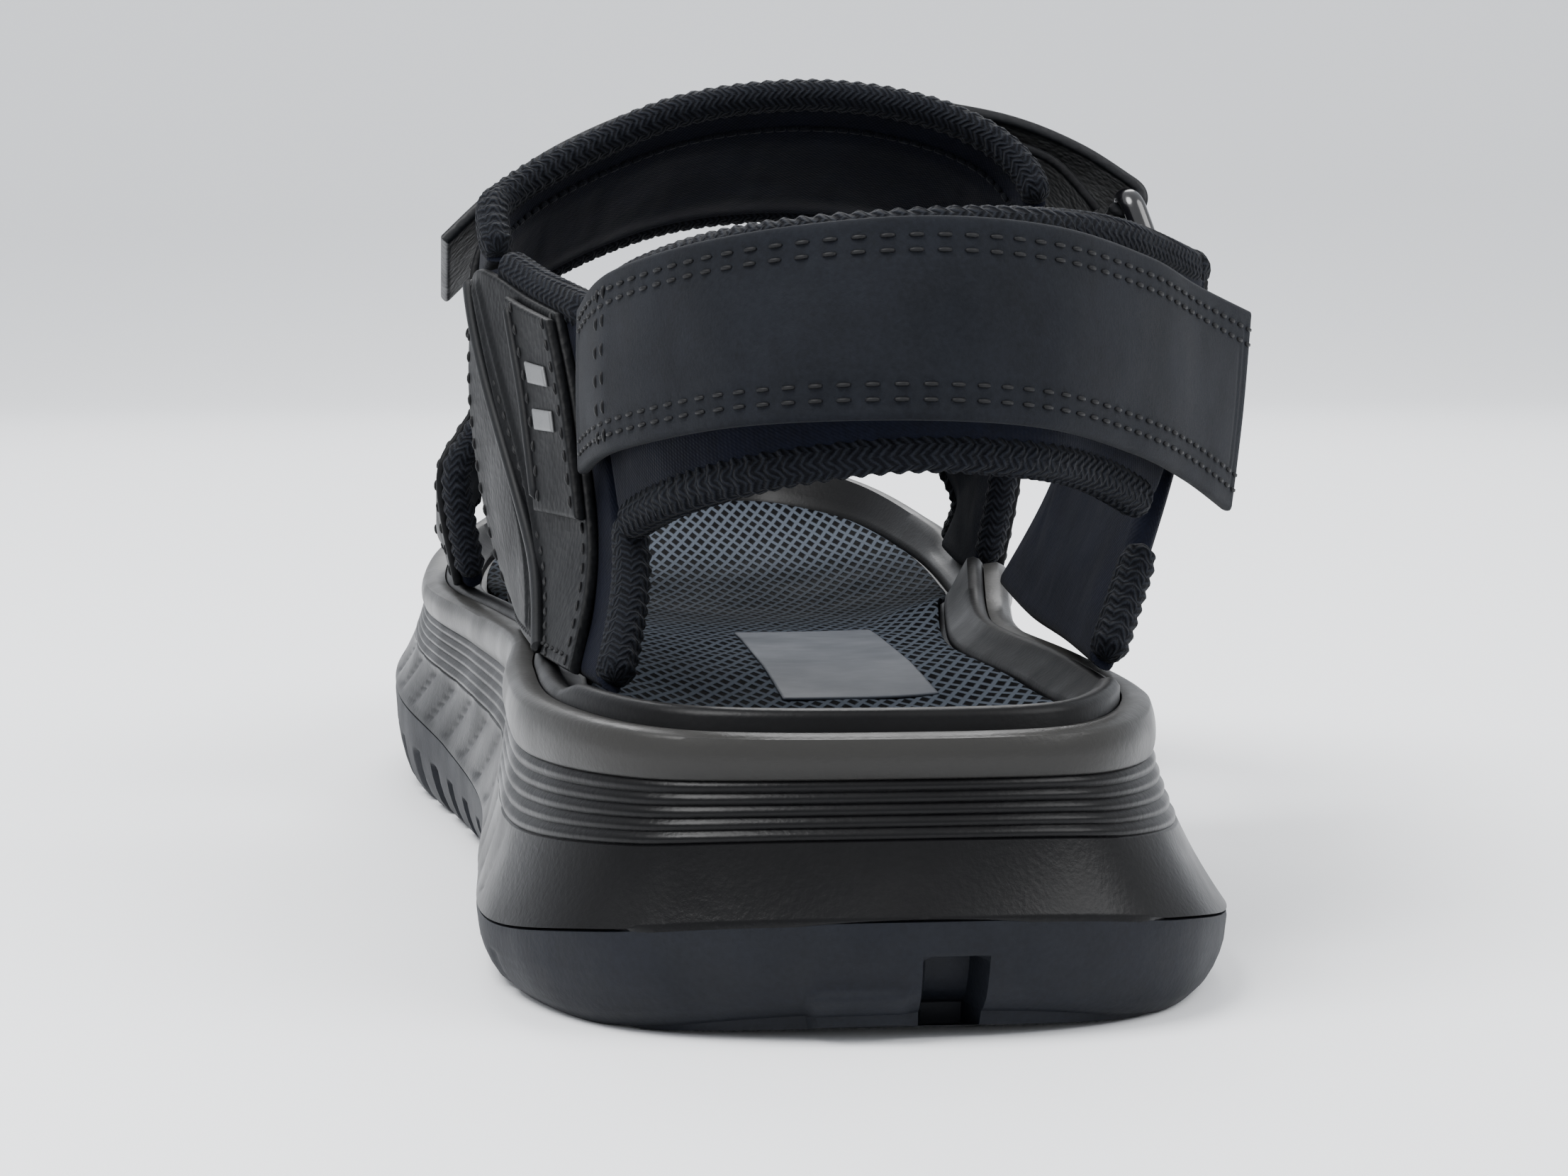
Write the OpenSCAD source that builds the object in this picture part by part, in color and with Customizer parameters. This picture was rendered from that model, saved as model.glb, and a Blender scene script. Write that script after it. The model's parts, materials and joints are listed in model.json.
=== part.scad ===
// Left-foot sport sandal: moulded sole, cushioned footbed and a padded strap upper.
// Millimetres. +Y points to the toe, +X to the inner (medial) side, +Z up; the tread lies on Z = 0.

/* [Sole] */
// Length of the sole along its widest line
sole_len = 300; // [270:1:330]
// Width of the sole across the ball of the foot
sole_wid = 110; // [98:1:124]
// Height of the midsole lip above the ground at the heel
lip_h = 35; // [30:0.5:42]
// Rise of the toe end of the tread above the ground
toe_spring = 19; // [12:0.5:24]
// Thickness of the rubber outsole under the foot
outsole_t = 5; // [4:0.5:7]
// Depth of the grooves in the tread
groove_d = 2.4; // [1.5:0.1:3.2]
// Width of the grooves in the tread
groove_w = 4; // [2.5:0.5:6]
// Width of the midsole's lip around the footbed
lip_w = 3; // [2.5:0.1:4]
// Thickness of the footbed's moulded frame
footbed_t = 5; // [4:0.5:6]
// Width of the smooth rim around the footbed's inlay
rim_w = 6.5; // [5:0.5:9]
// Thickness of the textile inlay in the footbed
inlay_t = 1.2; // [0.8:0.1:2]
// Length of the blank label in the footbed
label_len = 72; // [40:1:80]
// Width of the blank label in the footbed
label_wid = 21; // [15:1:28]

/* [Upper] */
// Height of the upper above the lip at the top of the instep
upper_h = 81; // [70:1:96]
// Thickness of the padded linings
pad_t = 3.4; // [2.5:0.1:4]
// Thickness of the outer leather panels
leather_t = 1.3; // [1:0.1:1.8]
// Thickness of the closing straps
strap_t = 1.8; // [1.2:0.1:2]
// Diameter of the knitted edge bindings
binding_d = 3.8; // [3:0.1:4.6]
// Thickness of the hook and of the loop pads
hook_t = 0.9; // [0.8:0.1:1.2]
// Clearance between two sewn or cemented layers
ply_gap = 0.25; // [0.2:0.05:0.4]

/* [Closures] */
// Width of the instep strap
instep_w = 28; // [22:1:32]
// Width of the forefoot strap
forefoot_w = 24; // [20:1:26]
// Radius of the bars of the strap rings
bar_r = 1.5; // [1.2:0.1:1.8]
// Distance between the two bars of a ring
bar_gap = 13; // [11:0.5:16]
// Clearance around a bar in its fold
bar_clear = 0.35; // [0.3:0.05:0.5]
// Downward slope of the instep towards the toes, in degrees
instep_slope = 20; // [12:1:22]
// Downward slope of the forefoot strap towards the toes, in degrees
forefoot_slope = 14; // [8:1:18]

/* [Hidden] */

// The shapes below are drawn for a reference size and stretched to the sizes above
ref_len = 300;
ref_wid = 110;
ref_lip = 35;
ref_upper = 81;
kx = sole_wid / ref_wid;
ky = sole_len / ref_len;
kz = lip_h / ref_lip;
ku = upper_h / ref_upper;

// Stations along the sole: [y, outer x, inner x] at the lip and at the widest line
LIP_HEEL = [3, -141];
LIP_TOE = [6, 147];
LIP = [[-136, -25, 25], [-112, -39, 36], [-75, -41.5, 36.5], [-35, -40, 34], [5, -45, 38],
       [50, -52, 46], [92, -50, 46], [124, -37, 38], [142, -19, 23]];
BASE_HEEL = [3, -148];
BASE_TOE = [6, 152];
BASE = [[-140, -30, 32], [-114, -45, 46], [-75, -46, 46.5], [-35, -45, 42], [5, -50, 43],
        [50, -57.5, 51], [92, -56, 51.5], [126, -43, 43], [146, -22, 26]];
// Height profiles along Y: ground clearance, widest line, lip, middle of the footbed
GROUND = [[-150, 3.6], [-142, 1.2], [-132, 0], [40, 0], [70, 1.2], [100, 5], [130, 12], [152, 19]];
EDGE = [[-150, 15], [-138, 12.5], [-112, 9], [-60, 9.5], [0, 13], [50, 16], [100, 20], [152, 31]];
RIM = [[-150, 35], [-110, 35.5], [-60, 35.5], [-20, 35], [30, 34.5], [60, 34.5], [100, 38], [130, 43.5],
       [152, 49]];
BED = [[-150, 34], [-125, 30.8], [-90, 30], [-50, 31.5], [-20, 31.5], [20, 30], [55, 28.8], [90, 31.5],
       [120, 37.5], [152, 46]];
// Height of the arch support on the inner side of the lip, and its centre along Y
arch_lift = 6;
arch_y = 10;
arch_len = 18;

ring_steps = 4;
cap_cols = 8;
slot = 0.2;

function mix(a, b, t) = a + (b - a) * t;
function unit(v) = v / max(norm(v), 1e-9);
function spline(a, b, c, d, t) =
    0.5 * (2 * b + (c - a) * t + (2 * a - 5 * b + 4 * c - d) * t * t + (3 * b - a - 3 * c + d) * t * t * t);
function curve(p, n) = let (m = len(p) - 1) [
    for (i = [0:m - 1]) for (k = [0:n - 1])
        spline(p[max(i - 1, 0)], p[i], p[i + 1], p[min(i + 2, m)], k / n),
    p[m]
];
function loop(p, n) = let (m = len(p)) [
    for (i = [0:m - 1]) for (k = [0:n - 1])
        spline(p[(i + m - 1) % m], p[i], p[(i + 1) % m], p[(i + 2) % m], k / n)
];
// Smooth height at y through a table of [y, z] stations
function grade(t, i) = let (a = t[max(i - 1, 0)], b = t[min(i + 1, len(t) - 1)]) (b[1] - a[1]) / (b[0] - a[0]);
function height(t, y) = let (
    v = min(max(y, t[0][0]), t[len(t) - 1][0]),
    i = max([0, for (k = [0:len(t) - 2]) if (t[k][0] <= v) k]),
    a = t[i], b = t[i + 1], d = b[0] - a[0], s = (v - a[0]) / d,
    flat = abs(b[1] - a[1]) < 0.001)
    flat ? a[1] :
    (1 + 2 * s) * pow(1 - s, 2) * a[1] + s * pow(1 - s, 2) * d * (i == 0 || t[i - 1][1] == a[1] ? 0 : grade(t, i))
    + s * s * (3 - 2 * s) * b[1] + s * s * (s - 1) * d * grade(t, i + 1);

// ---- Sole outlines and surfaces ----
function stations(heel, rows, toe) = concat([heel], [for (r = rows) [r[2], r[0]]], [toe],
    [for (i = [len(rows) - 1:-1:0]) [rows[i][1], rows[i][0]]]);
function stretch(p) = [p[0] * kx, p[1] * ky];
lip_ring = [for (p = loop(stations(LIP_HEEL, LIP, LIP_TOE), ring_steps)) stretch(p)];
base_ring = [for (p = loop(stations(BASE_HEEL, BASE, BASE_TOE), ring_steps)) stretch(p)];
ring_n = len(lip_ring);
function outward(ring, i) = let (n = len(ring), d = ring[(i + 1) % n] - ring[(i + n - 1) % n]) unit([d[1], -d[0]]);
function inset(ring, d) = [for (i = [0:len(ring) - 1]) ring[i] - outward(ring, i) * d];

function ground_z(p) = height(GROUND, p[1] / ky) * toe_spring / 19;
function edge_z(p) = height(EDGE, p[1] / ky) * kz;
function arch(p) = let (t = (p[1] / ky - arch_y) / arch_len, s = max(0, min(1, (p[0] / kx - 18) / 16)))
    arch_lift * s * exp(-t * t);
function lip_z(p) = (height(RIM, p[1] / ky) + arch(p)) * kz;
function half_bed(y) = lookup(y / ky, [[-150, 26], [-125, 27], [-90, 31], [-40, 30], [20, 36], [60, 40], [100, 38],
                                       [152, 30]]) * kx;
function bed_z(p) = let (rise = (height(RIM, p[1] / ky) - 1.2 - height(BED, p[1] / ky)) * kz,
                         s = min(1, abs(p[0]) / half_bed(p[1])))
    height(BED, p[1] / ky) * kz + max(0, rise) * pow(s, 3) + 0.7 * arch(p) * kz;
function lift(ring, z) = [for (i = [0:len(ring) - 1]) [ring[i][0], ring[i][1], z[i]]];
// A slanted wall between the lip (s = 0) and the widest line (s = 1)
function wall(s) = [for (i = [0:ring_n - 1]) let (w = pow(s, 1.8), p = mix(lip_ring[i], base_ring[i], w))
    [p[0], p[1], mix(lip_z(lip_ring[i]), edge_z(base_ring[i]), s)]];
function end_reach(p) = min(p[1] - BASE_HEEL[1] * ky, BASE_TOE[1] * ky - p[1]);
function under_z(p) = mix(edge_z(p), ground_z(p) + outsole_t, max(0, min(1, end_reach(p) / 14)));

// Interior points of the surface that spans a closed ring; bump(p) gives their height
function spans(ring) = [for (i = [1:len(ring) / 2 - 1]) for (j = [1:cap_cols - 1])
    mix(ring[i], ring[len(ring) - i], j / cap_cols)];

// A closed solid: rings from bottom to top, spanned at both ends by surfaces with given inner points
module ring_solid(rings, low_pts, high_pts) {
    n = len(rings[0]);
    h = n / 2;
    m = cap_cols;
    count = len(rings);
    low = count * n;
    high = low + len(low_pts);
    top = (count - 1) * n;
    function at(first, inner, i, j) =
        i == 0 ? first : i == h ? first + h : j == 0 ? first + i : j == m ? first + n - i
        : inner + (i - 1) * (m - 1) + j - 1;
    function span(first, inner, i, j) = let (
        a = at(first, inner, i, j), b = at(first, inner, i + 1, j),
        c = at(first, inner, i + 1, j + 1), d = at(first, inner, i, j + 1))
        i == 0 ? [[a, b, c]] : i == h - 1 ? [[a, b, d]] : [[a, b, c], [a, c, d]];
    sides = [for (r = [0:count - 2]) for (i = [0:n - 1]) let (k = (i + 1) % n)
        for (t = [[r * n + i, (r + 1) * n + i, (r + 1) * n + k], [r * n + i, (r + 1) * n + k, r * n + k]]) t];
    under = [for (i = [0:h - 1]) for (j = [0:m - 1]) for (t = span(0, low, i, j)) t];
    over = [for (i = [0:h - 1]) for (j = [0:m - 1]) for (t = span(top, high, i, j)) [t[0], t[2], t[1]]];
    polyhedron([for (r = rings) for (p = r) p, for (p = low_pts) p, for (p = high_pts) p],
               concat(sides, under, over), convexity = 10);
}

module outsole() {
    tread = inset(base_ring, 3.5);
    foot = inset(base_ring, 0.8);
    color("#14161c") difference() {
        ring_solid(
            [lift(tread, [for (p = tread) ground_z(p)]),
             lift(foot, [for (i = [0:ring_n - 1]) mix(ground_z(foot[i]), edge_z(base_ring[i]), 0.3)]),
             lift(base_ring, [for (p = base_ring) edge_z(p) - slot])],
            [for (p = spans(tread)) [p[0], p[1], ground_z(p)]],
            [for (p = spans(base_ring)) [p[0], p[1], under_z(p) - slot]]);
        tread_grooves();
    }
}

// Rows of shallow chevrons across the tread, and the split at the back of the heel
module tread_grooves() {
    pitch = 21 * ky;
    for (k = [-6:5]) {
        y = (k + 0.5) * pitch;
        low = ground_z([0, y + 6]) + groove_d - 6;
        for (side = [-1, 1])
            translate([side * 17 * kx, y, low])
                rotate([0, 0, side * 18])
                    cube([30 * kx, groove_w, 12], center = true);
    }
    for (side = [-1, 1])
        translate([side * 24 * kx - groove_w / 2, -118 * ky, -10])
            cube([groove_w, 150 * ky, 10 + groove_d * 0.7]);
    translate([22 * kx, -147 * ky, 0])
        rotate([0, 0, 20])
            cube([7, 22, 12], center = true);
}

module midsole() {
    floor_ring = inset(lip_ring, lip_w + 0.4);
    color("#24252a")
        ring_solid(
            concat([for (s = [1, 0.82, 0.62, 0.42, 0.2, 0]) wall(s)],
                   [lift(inset(lip_ring, lip_w), [for (p = lip_ring) lip_z(p)]),
                    lift(floor_ring, [for (p = floor_ring) min(bed_z(p), lip_z(p)) - footbed_t])]),
            [for (p = spans(base_ring)) [p[0], p[1], under_z(p)]],
            [for (p = spans(floor_ring)) [p[0], p[1], bed_z(p) - footbed_t]]);
}

module footbed_frame() {
    low = inset(lip_ring, lip_w + 0.4 + ply_gap);
    rim = inset(lip_ring, lip_w + ply_gap);
    crown = inset(lip_ring, lip_w + 2.5);
    mouth = inset(lip_ring, lip_w + rim_w);
    color("#17181c")
        ring_solid(
            [lift(low, [for (p = low) min(bed_z(p), lip_z(p)) - footbed_t + slot]),
             lift(rim, [for (i = [0:ring_n - 1]) lip_z(lip_ring[i]) - 0.6]),
             lift(crown, [for (i = [0:ring_n - 1]) lip_z(lip_ring[i]) + 0.2]),
             lift(mouth, [for (p = mouth) bed_z(p)]),
             lift(mouth, [for (p = mouth) bed_z(p) - inlay_t])],
            [for (p = spans(low)) [p[0], p[1], bed_z(p) - footbed_t + slot]],
            [for (p = spans(mouth)) [p[0], p[1], bed_z(p) - inlay_t]]);
}

// A thin blank label on the inlay under the heel and the arch
module footbed_label() {
    centre = [5 * kx, -41 * ky];
    function row(lift) = [for (v = [0:4]) [for (u = [0:3]) let (
        p = centre + [(u / 3 - 0.5) * label_wid, (v / 4 - 0.5) * label_len])
        [p[0], p[1], bed_z(p) + lift]]];
    color("#4a4e58") between(row(0.3), row(0.7));
}

module footbed_inlay() {
    edge = inset(lip_ring, lip_w + rim_w + ply_gap);
    color("#3a3f48")
        ring_solid(
            [lift(edge, [for (p = edge) bed_z(p) - inlay_t + slot]), lift(edge, [for (p = edge) bed_z(p)])],
            [for (p = spans(edge)) [p[0], p[1], bed_z(p) - inlay_t + slot]],
            [for (p = spans(edge)) [p[0], p[1], bed_z(p)]]);
}

// ---- Curved sheets ----
function patch(net, nu, nv) = let (
    rows = [for (r = net) curve(r, nu)],
    cols = [for (c = [0:len(rows[0]) - 1]) curve([for (r = rows) r[c]], nv)])
    [for (v = [0:len(cols[0]) - 1]) [for (c = cols) c[v]]];
function normal(g, v, u) = let (rows = len(g) - 1, cols = len(g[0]) - 1)
    unit(cross(g[v][min(u + 1, cols)] - g[v][max(u - 1, 0)], g[min(v + 1, rows)][u] - g[max(v - 1, 0)][u]));
function raise(g, d) = [for (v = [0:len(g) - 1]) [for (u = [0:len(g[0]) - 1]) g[v][u] + normal(g, v, u) * d]];
function window(g, u0, u1, v0, v1) = let (rows = len(g) - 1, cols = len(g[0]) - 1)
    [for (v = [round(v0 * rows):round(v1 * rows)]) [for (u = [round(u0 * cols):round(u1 * cols)]) g[v][u]]];

// A closed sheet between two matching grids of points
module between(low, high) {
    rows = len(low);
    cols = len(low[0]);
    k = rows * cols;
    function quad(a, b, c, d) = [[a, b, c], [a, c, d]];
    faces = concat(
        [for (v = [0:rows - 2]) for (u = [0:cols - 2]) let (a = v * cols + u)
            for (t = quad(a, a + 1, a + cols + 1, a + cols)) t],
        [for (v = [0:rows - 2]) for (u = [0:cols - 2]) let (a = k + v * cols + u)
            for (t = quad(a, a + cols, a + cols + 1, a + 1)) t],
        [for (u = [0:cols - 2]) for (t = quad(u, k + u, k + u + 1, u + 1)) t],
        [for (u = [0:cols - 2]) let (a = (rows - 1) * cols + u) for (t = quad(a, a + 1, k + a + 1, k + a)) t],
        [for (v = [0:rows - 2]) let (a = v * cols) for (t = quad(a, a + cols, k + a + cols, k + a)) t],
        [for (v = [0:rows - 2]) let (a = v * cols + cols - 1) for (t = quad(a, k + a, k + a + cols, a + cols)) t]);
    polyhedron([for (g = [low, high]) for (r = g) for (p = r) p], faces, convexity = 10);
}
module sheet(grid, low, high) {
    between(raise(grid, low), raise(grid, high));
}

// A round cord along an open path
module cord(path, r) {
    sides = 8;
    n = len(path);
    rings = [for (i = [0:n - 1]) let (
        d = unit(path[min(i + 1, n - 1)] - path[max(i - 1, 0)]),
        s = unit(cross(d, [0.31, 0.22, 0.93])),
        w = cross(s, d))
        for (k = [0:sides - 1]) path[i] + (s * cos(k * 360 / sides) + w * sin(k * 360 / sides)) * r];
    sleeve = [for (i = [0:n - 2]) for (k = [0:sides - 1]) let (
        a = i * sides + k, b = i * sides + (k + 1) % sides)
        for (t = [[a, b, b + sides], [a, b + sides, a + sides]]) t];
    ends = concat([for (k = [1:sides - 2]) [0, k + 1, k]],
                  [for (k = [1:sides - 2]) let (a = (n - 1) * sides) [a, a + k, a + k + 1]]);
    polyhedron(rings, concat(sleeve, ends), convexity = 6);
}
// The path just outside an edge of a grid, r beyond it, in the middle of the sheet's thickness
function across(d, along) = unit(d - along * (d * along));
function beside(edge, inner, grid_n, r, depth) = let (n = len(edge) - 1) [for (i = [0:n]) let (
    along = unit(edge[min(i + 1, n)] - edge[max(i - 1, 0)]))
    edge[i] + across(edge[i] - inner[i], along) * (r + 2 * ply_gap) + grid_n[i] * depth];
// The path without a share of its first and of its last stretch
function trimmed(p, a, b) = let (n = len(p) - 1)
    concat([mix(p[0], p[1], a)], [for (i = [1:n - 1]) p[i]], [mix(p[n], p[n - 1], b)]);
function top_edge(g, r, depth) = let (v = len(g) - 1)
    beside(g[v], g[v - 1], [for (u = [0:len(g[0]) - 1]) normal(g, v, u)], r, depth);
function bottom_edge(g, r, depth) =
    beside(g[0], g[1], [for (u = [0:len(g[0]) - 1]) normal(g, 0, u)], r, depth);
function end_edge(g, r, depth) = let (u = len(g[0]) - 1)
    beside([for (row = g) row[u]], [for (row = g) row[u - 1]], [for (v = [0:len(g) - 1]) normal(g, v, u)], r, depth);

// Points of the upper are drawn at the reference size; heights above the lip follow the upper's height
// and a point without a height stands on the rim of the sole
seat_gap = 0.9;
function up(p) = len(p) == 2
    ? let (q = stretch(p)) [q[0], q[1], lip_z(q) + seat_gap]
    : [p[0] * kx, p[1] * ky, lip_h + (p[2] - ref_lip) * ku];
function net(rows) = [for (r = rows) [for (p = r) up(p)]];

binding_r = binding_d / 2;
mid_pad = -pad_t / 2 - 0.2;

// Outer surfaces of the padded linings; each row runs along the foot, rows go upwards
LATERAL = [
    [[-37.5, -24], [-37.5, -48], [-36, -76], [-31.5, -106]],
    [[-42, -22, 50], [-38.5, -44, 50], [-33.5, -66, 50], [-28, -88, 50]],
    [[-44.5, -17, 68], [-40.5, -38, 68], [-34.5, -57, 68], [-29.5, -76, 68]],
    [[-43.9, -11, 84.2], [-43.1, -27, 87.4], [-37, -48, 83.5], [-31.5, -68, 80.6]]
];
MEDIAL = [
    [[34, -101], [35.5, -70], [36.5, -38], [37.5, -9]],
    [[41.5, -88, 50], [43.5, -60, 50], [44.8, -34, 50], [45, -8, 51]],
    [[49, -75, 66], [51, -48, 67], [52.5, -22, 67], [53.5, 4, 66]],
    [[55.3, -59.5, 86], [58, -32, 86.5], [60, -3, 84.5], [61, 29, 74.5]]
];
HEEL = [
    [[-28, -86.4, 56], [-22.5, -106, 61], [-12, -122, 65], [4, -128, 67], [20, -121, 66],
     [32, -104, 63], [42.6, -87.4, 58]],
    [[-29.3, -77, 68], [-25, -101, 73], [-14, -121.5, 77], [4, -130, 79], [22, -121.5, 78],
     [36, -101.5, 75], [49.6, -74.4, 71]],
    [[-31.2, -69, 81], [-26, -96, 86], [-14.5, -117, 90], [4, -125, 92], [21.5, -117.5, 92],
     [37, -97, 90.5], [54.3, -62.6, 86.5]]
];
STRAP = [
    [[-32.6, -76, 60.7], [-29.5, -100, 65], [-16.5, -126, 69.3], [3, -135.5, 70.5], [21, -127.5, 69],
     [36.5, -107.5, 64.5], [47, -89, 60], [56.5, -71, 54.7]],
    [[-32.8, -76, 71.6], [-29.9, -100, 76], [-17, -125, 80.5], [3, -134.2, 82.2], [21.5, -126.5, 81],
     [37.3, -106.8, 77], [48, -88.5, 73], [58, -71, 68.2]],
    [[-32.6, -76, 82.5], [-29.5, -99, 87.5], [-17, -122.5, 91.7], [3, -131.5, 94], [21.5, -124.5, 93],
     [37.5, -105.5, 89.3], [48, -87.5, 85.5], [59, -71, 81.8]]
];
lateral_grid = patch(net(LATERAL), 4, 3);
medial_grid = patch(net(MEDIAL), 4, 3);
heel_grid = patch(net(HEEL), 4, 3);
strap_grid = patch(net(STRAP), 4, 3);

module lateral_lining() { color("#10141f") sheet(lateral_grid, -pad_t, 0); }
module medial_lining() { color("#10141f") sheet(medial_grid, -pad_t, 0); }
module heel_band() { color("#10141f") sheet(heel_grid, -pad_t, 0); }

leather_low = ply_gap;
leather_high = ply_gap + leather_t;
module lateral_quarter() {
    color("#1e2024") sheet(window(lateral_grid, 0, 0.84, 0, 1), leather_low, leather_high);
}
module medial_quarter() {
    color("#1e2024") sheet(window(medial_grid, 0.16, 1, 0, 1), leather_low, leather_high);
}
// Two welts that run down the quarter, from its front at the top to its rear at the rim
function on_grid(g, u, v) = let (
    r = v * (len(g) - 1), c = u * (len(g[0]) - 1), i = min(floor(r), len(g) - 2), j = min(floor(c), len(g[0]) - 2))
    mix(mix(g[i][j], g[i][j + 1], c - j), mix(g[i + 1][j], g[i + 1][j + 1], c - j), r - i);
module lateral_piping() {
    welt_r = 0.9;
    g = raise(lateral_grid, leather_high + welt_r + ply_gap);
    for (shift = [0, 0.09])
        color("#2a2c30") cord([for (k = [0:12]) on_grid(g, mix(0.66, 0.14, k / 12) + shift, k / 12)], welt_r);
}
module lateral_rear_binding() {
    color("#181c27") cord(trimmed(end_edge(window(lateral_grid, 0, 1, 0, 0.34), binding_r, mid_pad), 0.4, 0), binding_r);
}
module medial_rear_binding() {
    g = window(medial_grid, 0, 1, 0, 0.34);
    edge = [for (row = g) row[0]];
    inner = [for (row = g) row[1]];
    normals = [for (v = [0:len(g) - 1]) normal(g, v, 0)];
    color("#181c27") cord(trimmed(beside(edge, inner, normals, binding_r, mid_pad), 0.4, 0), binding_r);
}
module lateral_top_binding() {
    color("#181c27") cord(top_edge(window(lateral_grid, 0.5, 0.96, 0, 1), binding_r, mid_pad), binding_r);
}
module medial_top_binding() {
    color("#181c27") cord(top_edge(window(medial_grid, 0.08, 0.7, 0, 1), binding_r, mid_pad), binding_r);
}
module heel_band_top_binding() { color("#181c27") cord(top_edge(window(heel_grid, 0.04, 0.96, 0, 1), binding_r, mid_pad), binding_r); }
module heel_band_bottom_binding() {
    color("#181c27")
        cord(bottom_edge(window(heel_grid, 0.08, 0.9, 0, 1), binding_r, mid_pad), binding_r);
}

// ---- Heel strap: its sewn end, the strap and its two fastening pads ----
anchor_low = leather_high + ply_gap;
module heel_strap_anchor() {
    color("#26282c")
        sheet(window(lateral_grid, 0.58, 0.84, 0.45, 0.95), anchor_low, anchor_low + leather_t);
}
module heel_strap() { color("#2a2c31") sheet(strap_grid, -strap_t, 0); }
module heel_strap_hook_pad() {
    low = -strap_t - ply_gap - hook_t;
    color("#0c0d10") sheet(window(strap_grid, 0.79, 0.93, 0.2, 0.8), low, low + hook_t);
}
module heel_strap_loop_pad() {
    color("#0e1016") sheet(window(heel_grid, 0.7, 0.93, 0.3, 0.85), ply_gap, ply_gap + hook_t);
}

// ---- Saddles over the instep and the forefoot: a cross-section carried along a sloping line ----
// Cross-section of the instep pad, [x, height above its pivot], from the outer to the inner side
INSTEP = [[-44, -11], [-42.5, -5.3], [-37, 1], [-27, 7.8], [-14, 13.4], [0, 16], [14, 16], [27, 13.3],
          [36, 8.4], [41, 2], [43, -5]];
// Distances of the pad's rear, middle and front rows along the slope, at each point above
INSTEP_REAR = [-15, -8, -3, 0, 0, 0, 0, 0, -1, -3, -5];
INSTEP_MID = [8, 12, 15, 18, 20, 20, 20, 20, 18, 16, 15];
INSTEP_FRONT = [33.5, 37, 41, 44, 46, 47, 47.2, 46.5, 44, 40, 37];
instep_pivot = lip_h + 65 * ku;
function section(table) = [for (p = table) [p[0] * kx, p[1] * ku]];
function on_slope(p, y, pivot, slope) = [p[0], y * cos(slope) + p[1] * sin(slope),
                                         pivot + p[1] * cos(slope) - y * sin(slope)];
function saddle_row(table, ys, pivot, slope) =
    [for (i = [0:len(table) - 1]) on_slope(section(table)[i], ys[i] * ky, pivot, slope)];
instep_side = net([[[-43.3, -27.6, 88.4], [-44, -11, 85.2], [-44.4, 12, 80]]])[0];
instep_grid = patch([
    concat([instep_side[0]], saddle_row(INSTEP, INSTEP_REAR, instep_pivot, instep_slope)),
    concat([instep_side[1]], saddle_row(INSTEP, INSTEP_MID, instep_pivot, instep_slope)),
    concat([instep_side[2]], saddle_row(INSTEP, INSTEP_FRONT, instep_pivot, instep_slope))], 3, 3);

module instep_pad() { color("#10141f") sheet(instep_grid, -pad_t, 0); }
module instep_pad_rear_binding() {
    color("#181c27") cord(bottom_edge(instep_grid, binding_r, mid_pad), binding_r);
}
module instep_pad_front_binding() {
    color("#181c27") cord(top_edge(instep_grid, binding_r, mid_pad), binding_r);
}

// A strip between two offsets of a path in the cross-section, as wide as the strap
function bend(path, d) = let (m = len(path) - 1) [for (i = [0:m]) let (
    t = unit(path[min(i + 1, m)] - path[max(i - 1, 0)])) path[i] + [-t[1], t[0]] * d];
function reversed(p) = [for (i = [len(p) - 1:-1:0]) p[i]];
module strip(path, low, high, y0, width) {
    translate([0, y0 + width, 0])
        rotate([90, 0, 0])
            linear_extrude(height = width)
                polygon(concat(bend(path, low), reversed(bend(path, high))));
}
module sloped(pivot, slope) {
    translate([0, pivot[0], pivot[1]])
        rotate([-slope, 0, 0])
            children();
}

fold_in = bar_r + bar_clear;
fold_out = fold_in + strap_t;
stack = ply_gap + leather_t + ply_gap + hook_t + ply_gap + hook_t + ply_gap;

// A folded end around a bar: most of a ring, from angle a0 to a1
module fold(centre, a0, a1, y0, width, inner, outer) {
    translate([centre[0], y0 + width, centre[1]])
        rotate([90, 0, 0])
            rotate([0, 0, a0])
                rotate_extrude(angle = a1 - a0, $fn = 48)
                    translate([inner, 0])
                        square([outer - inner, width]);
}
// A strap leaves its fold along the tangent: it starts a little inside the fold, a hair thinner than it
fold_skin = 0.05;
function leaving(bar, angle) = let (out = [cos(angle), sin(angle)])
    [for (step = [-0.5, 0.8]) bar + out * fold_out + [-out[1], out[0]] * step];
// A rectangular loop: two round bars between two flat cheeks; the second bar lies bar_gap away
module ring(centre, angle, y0, width) {
    side = 0.6;
    cheek_t = 2.4;
    cheek_r = bar_r + 0.7;
    translate([centre[0], y0, centre[1]])
        rotate([0, -angle, 0]) {
            for (x = [0, bar_gap])
                translate([x, -side - cheek_t / 2, 0])
                    rotate([-90, 0, 0])
                        cylinder(r = bar_r, h = width + 2 * side + cheek_t, $fn = 32);
            for (y = [-side - cheek_t, width + side]) {
                for (x = [0, bar_gap])
                    translate([x, y, 0])
                        rotate([-90, 0, 0])
                            cylinder(r = cheek_r, h = cheek_t, $fn = 32);
                translate([0, y, -cheek_r])
                    cube([bar_gap, cheek_t, 2 * cheek_r]);
            }
        }
}

// ---- Instep closure ----
instep_y = 13;
instep_bar = [59 * kx, 3.5 * ku];
instep_turn = -74;
instep_catch = instep_bar + [cos(instep_turn), sin(instep_turn)] * bar_gap;
instep_curve = curve(section(INSTEP), 3);
function part(p, a, b) = [for (i = [round(a * (len(p) - 1)):round(b * (len(p) - 1))]) p[i]];

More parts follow.
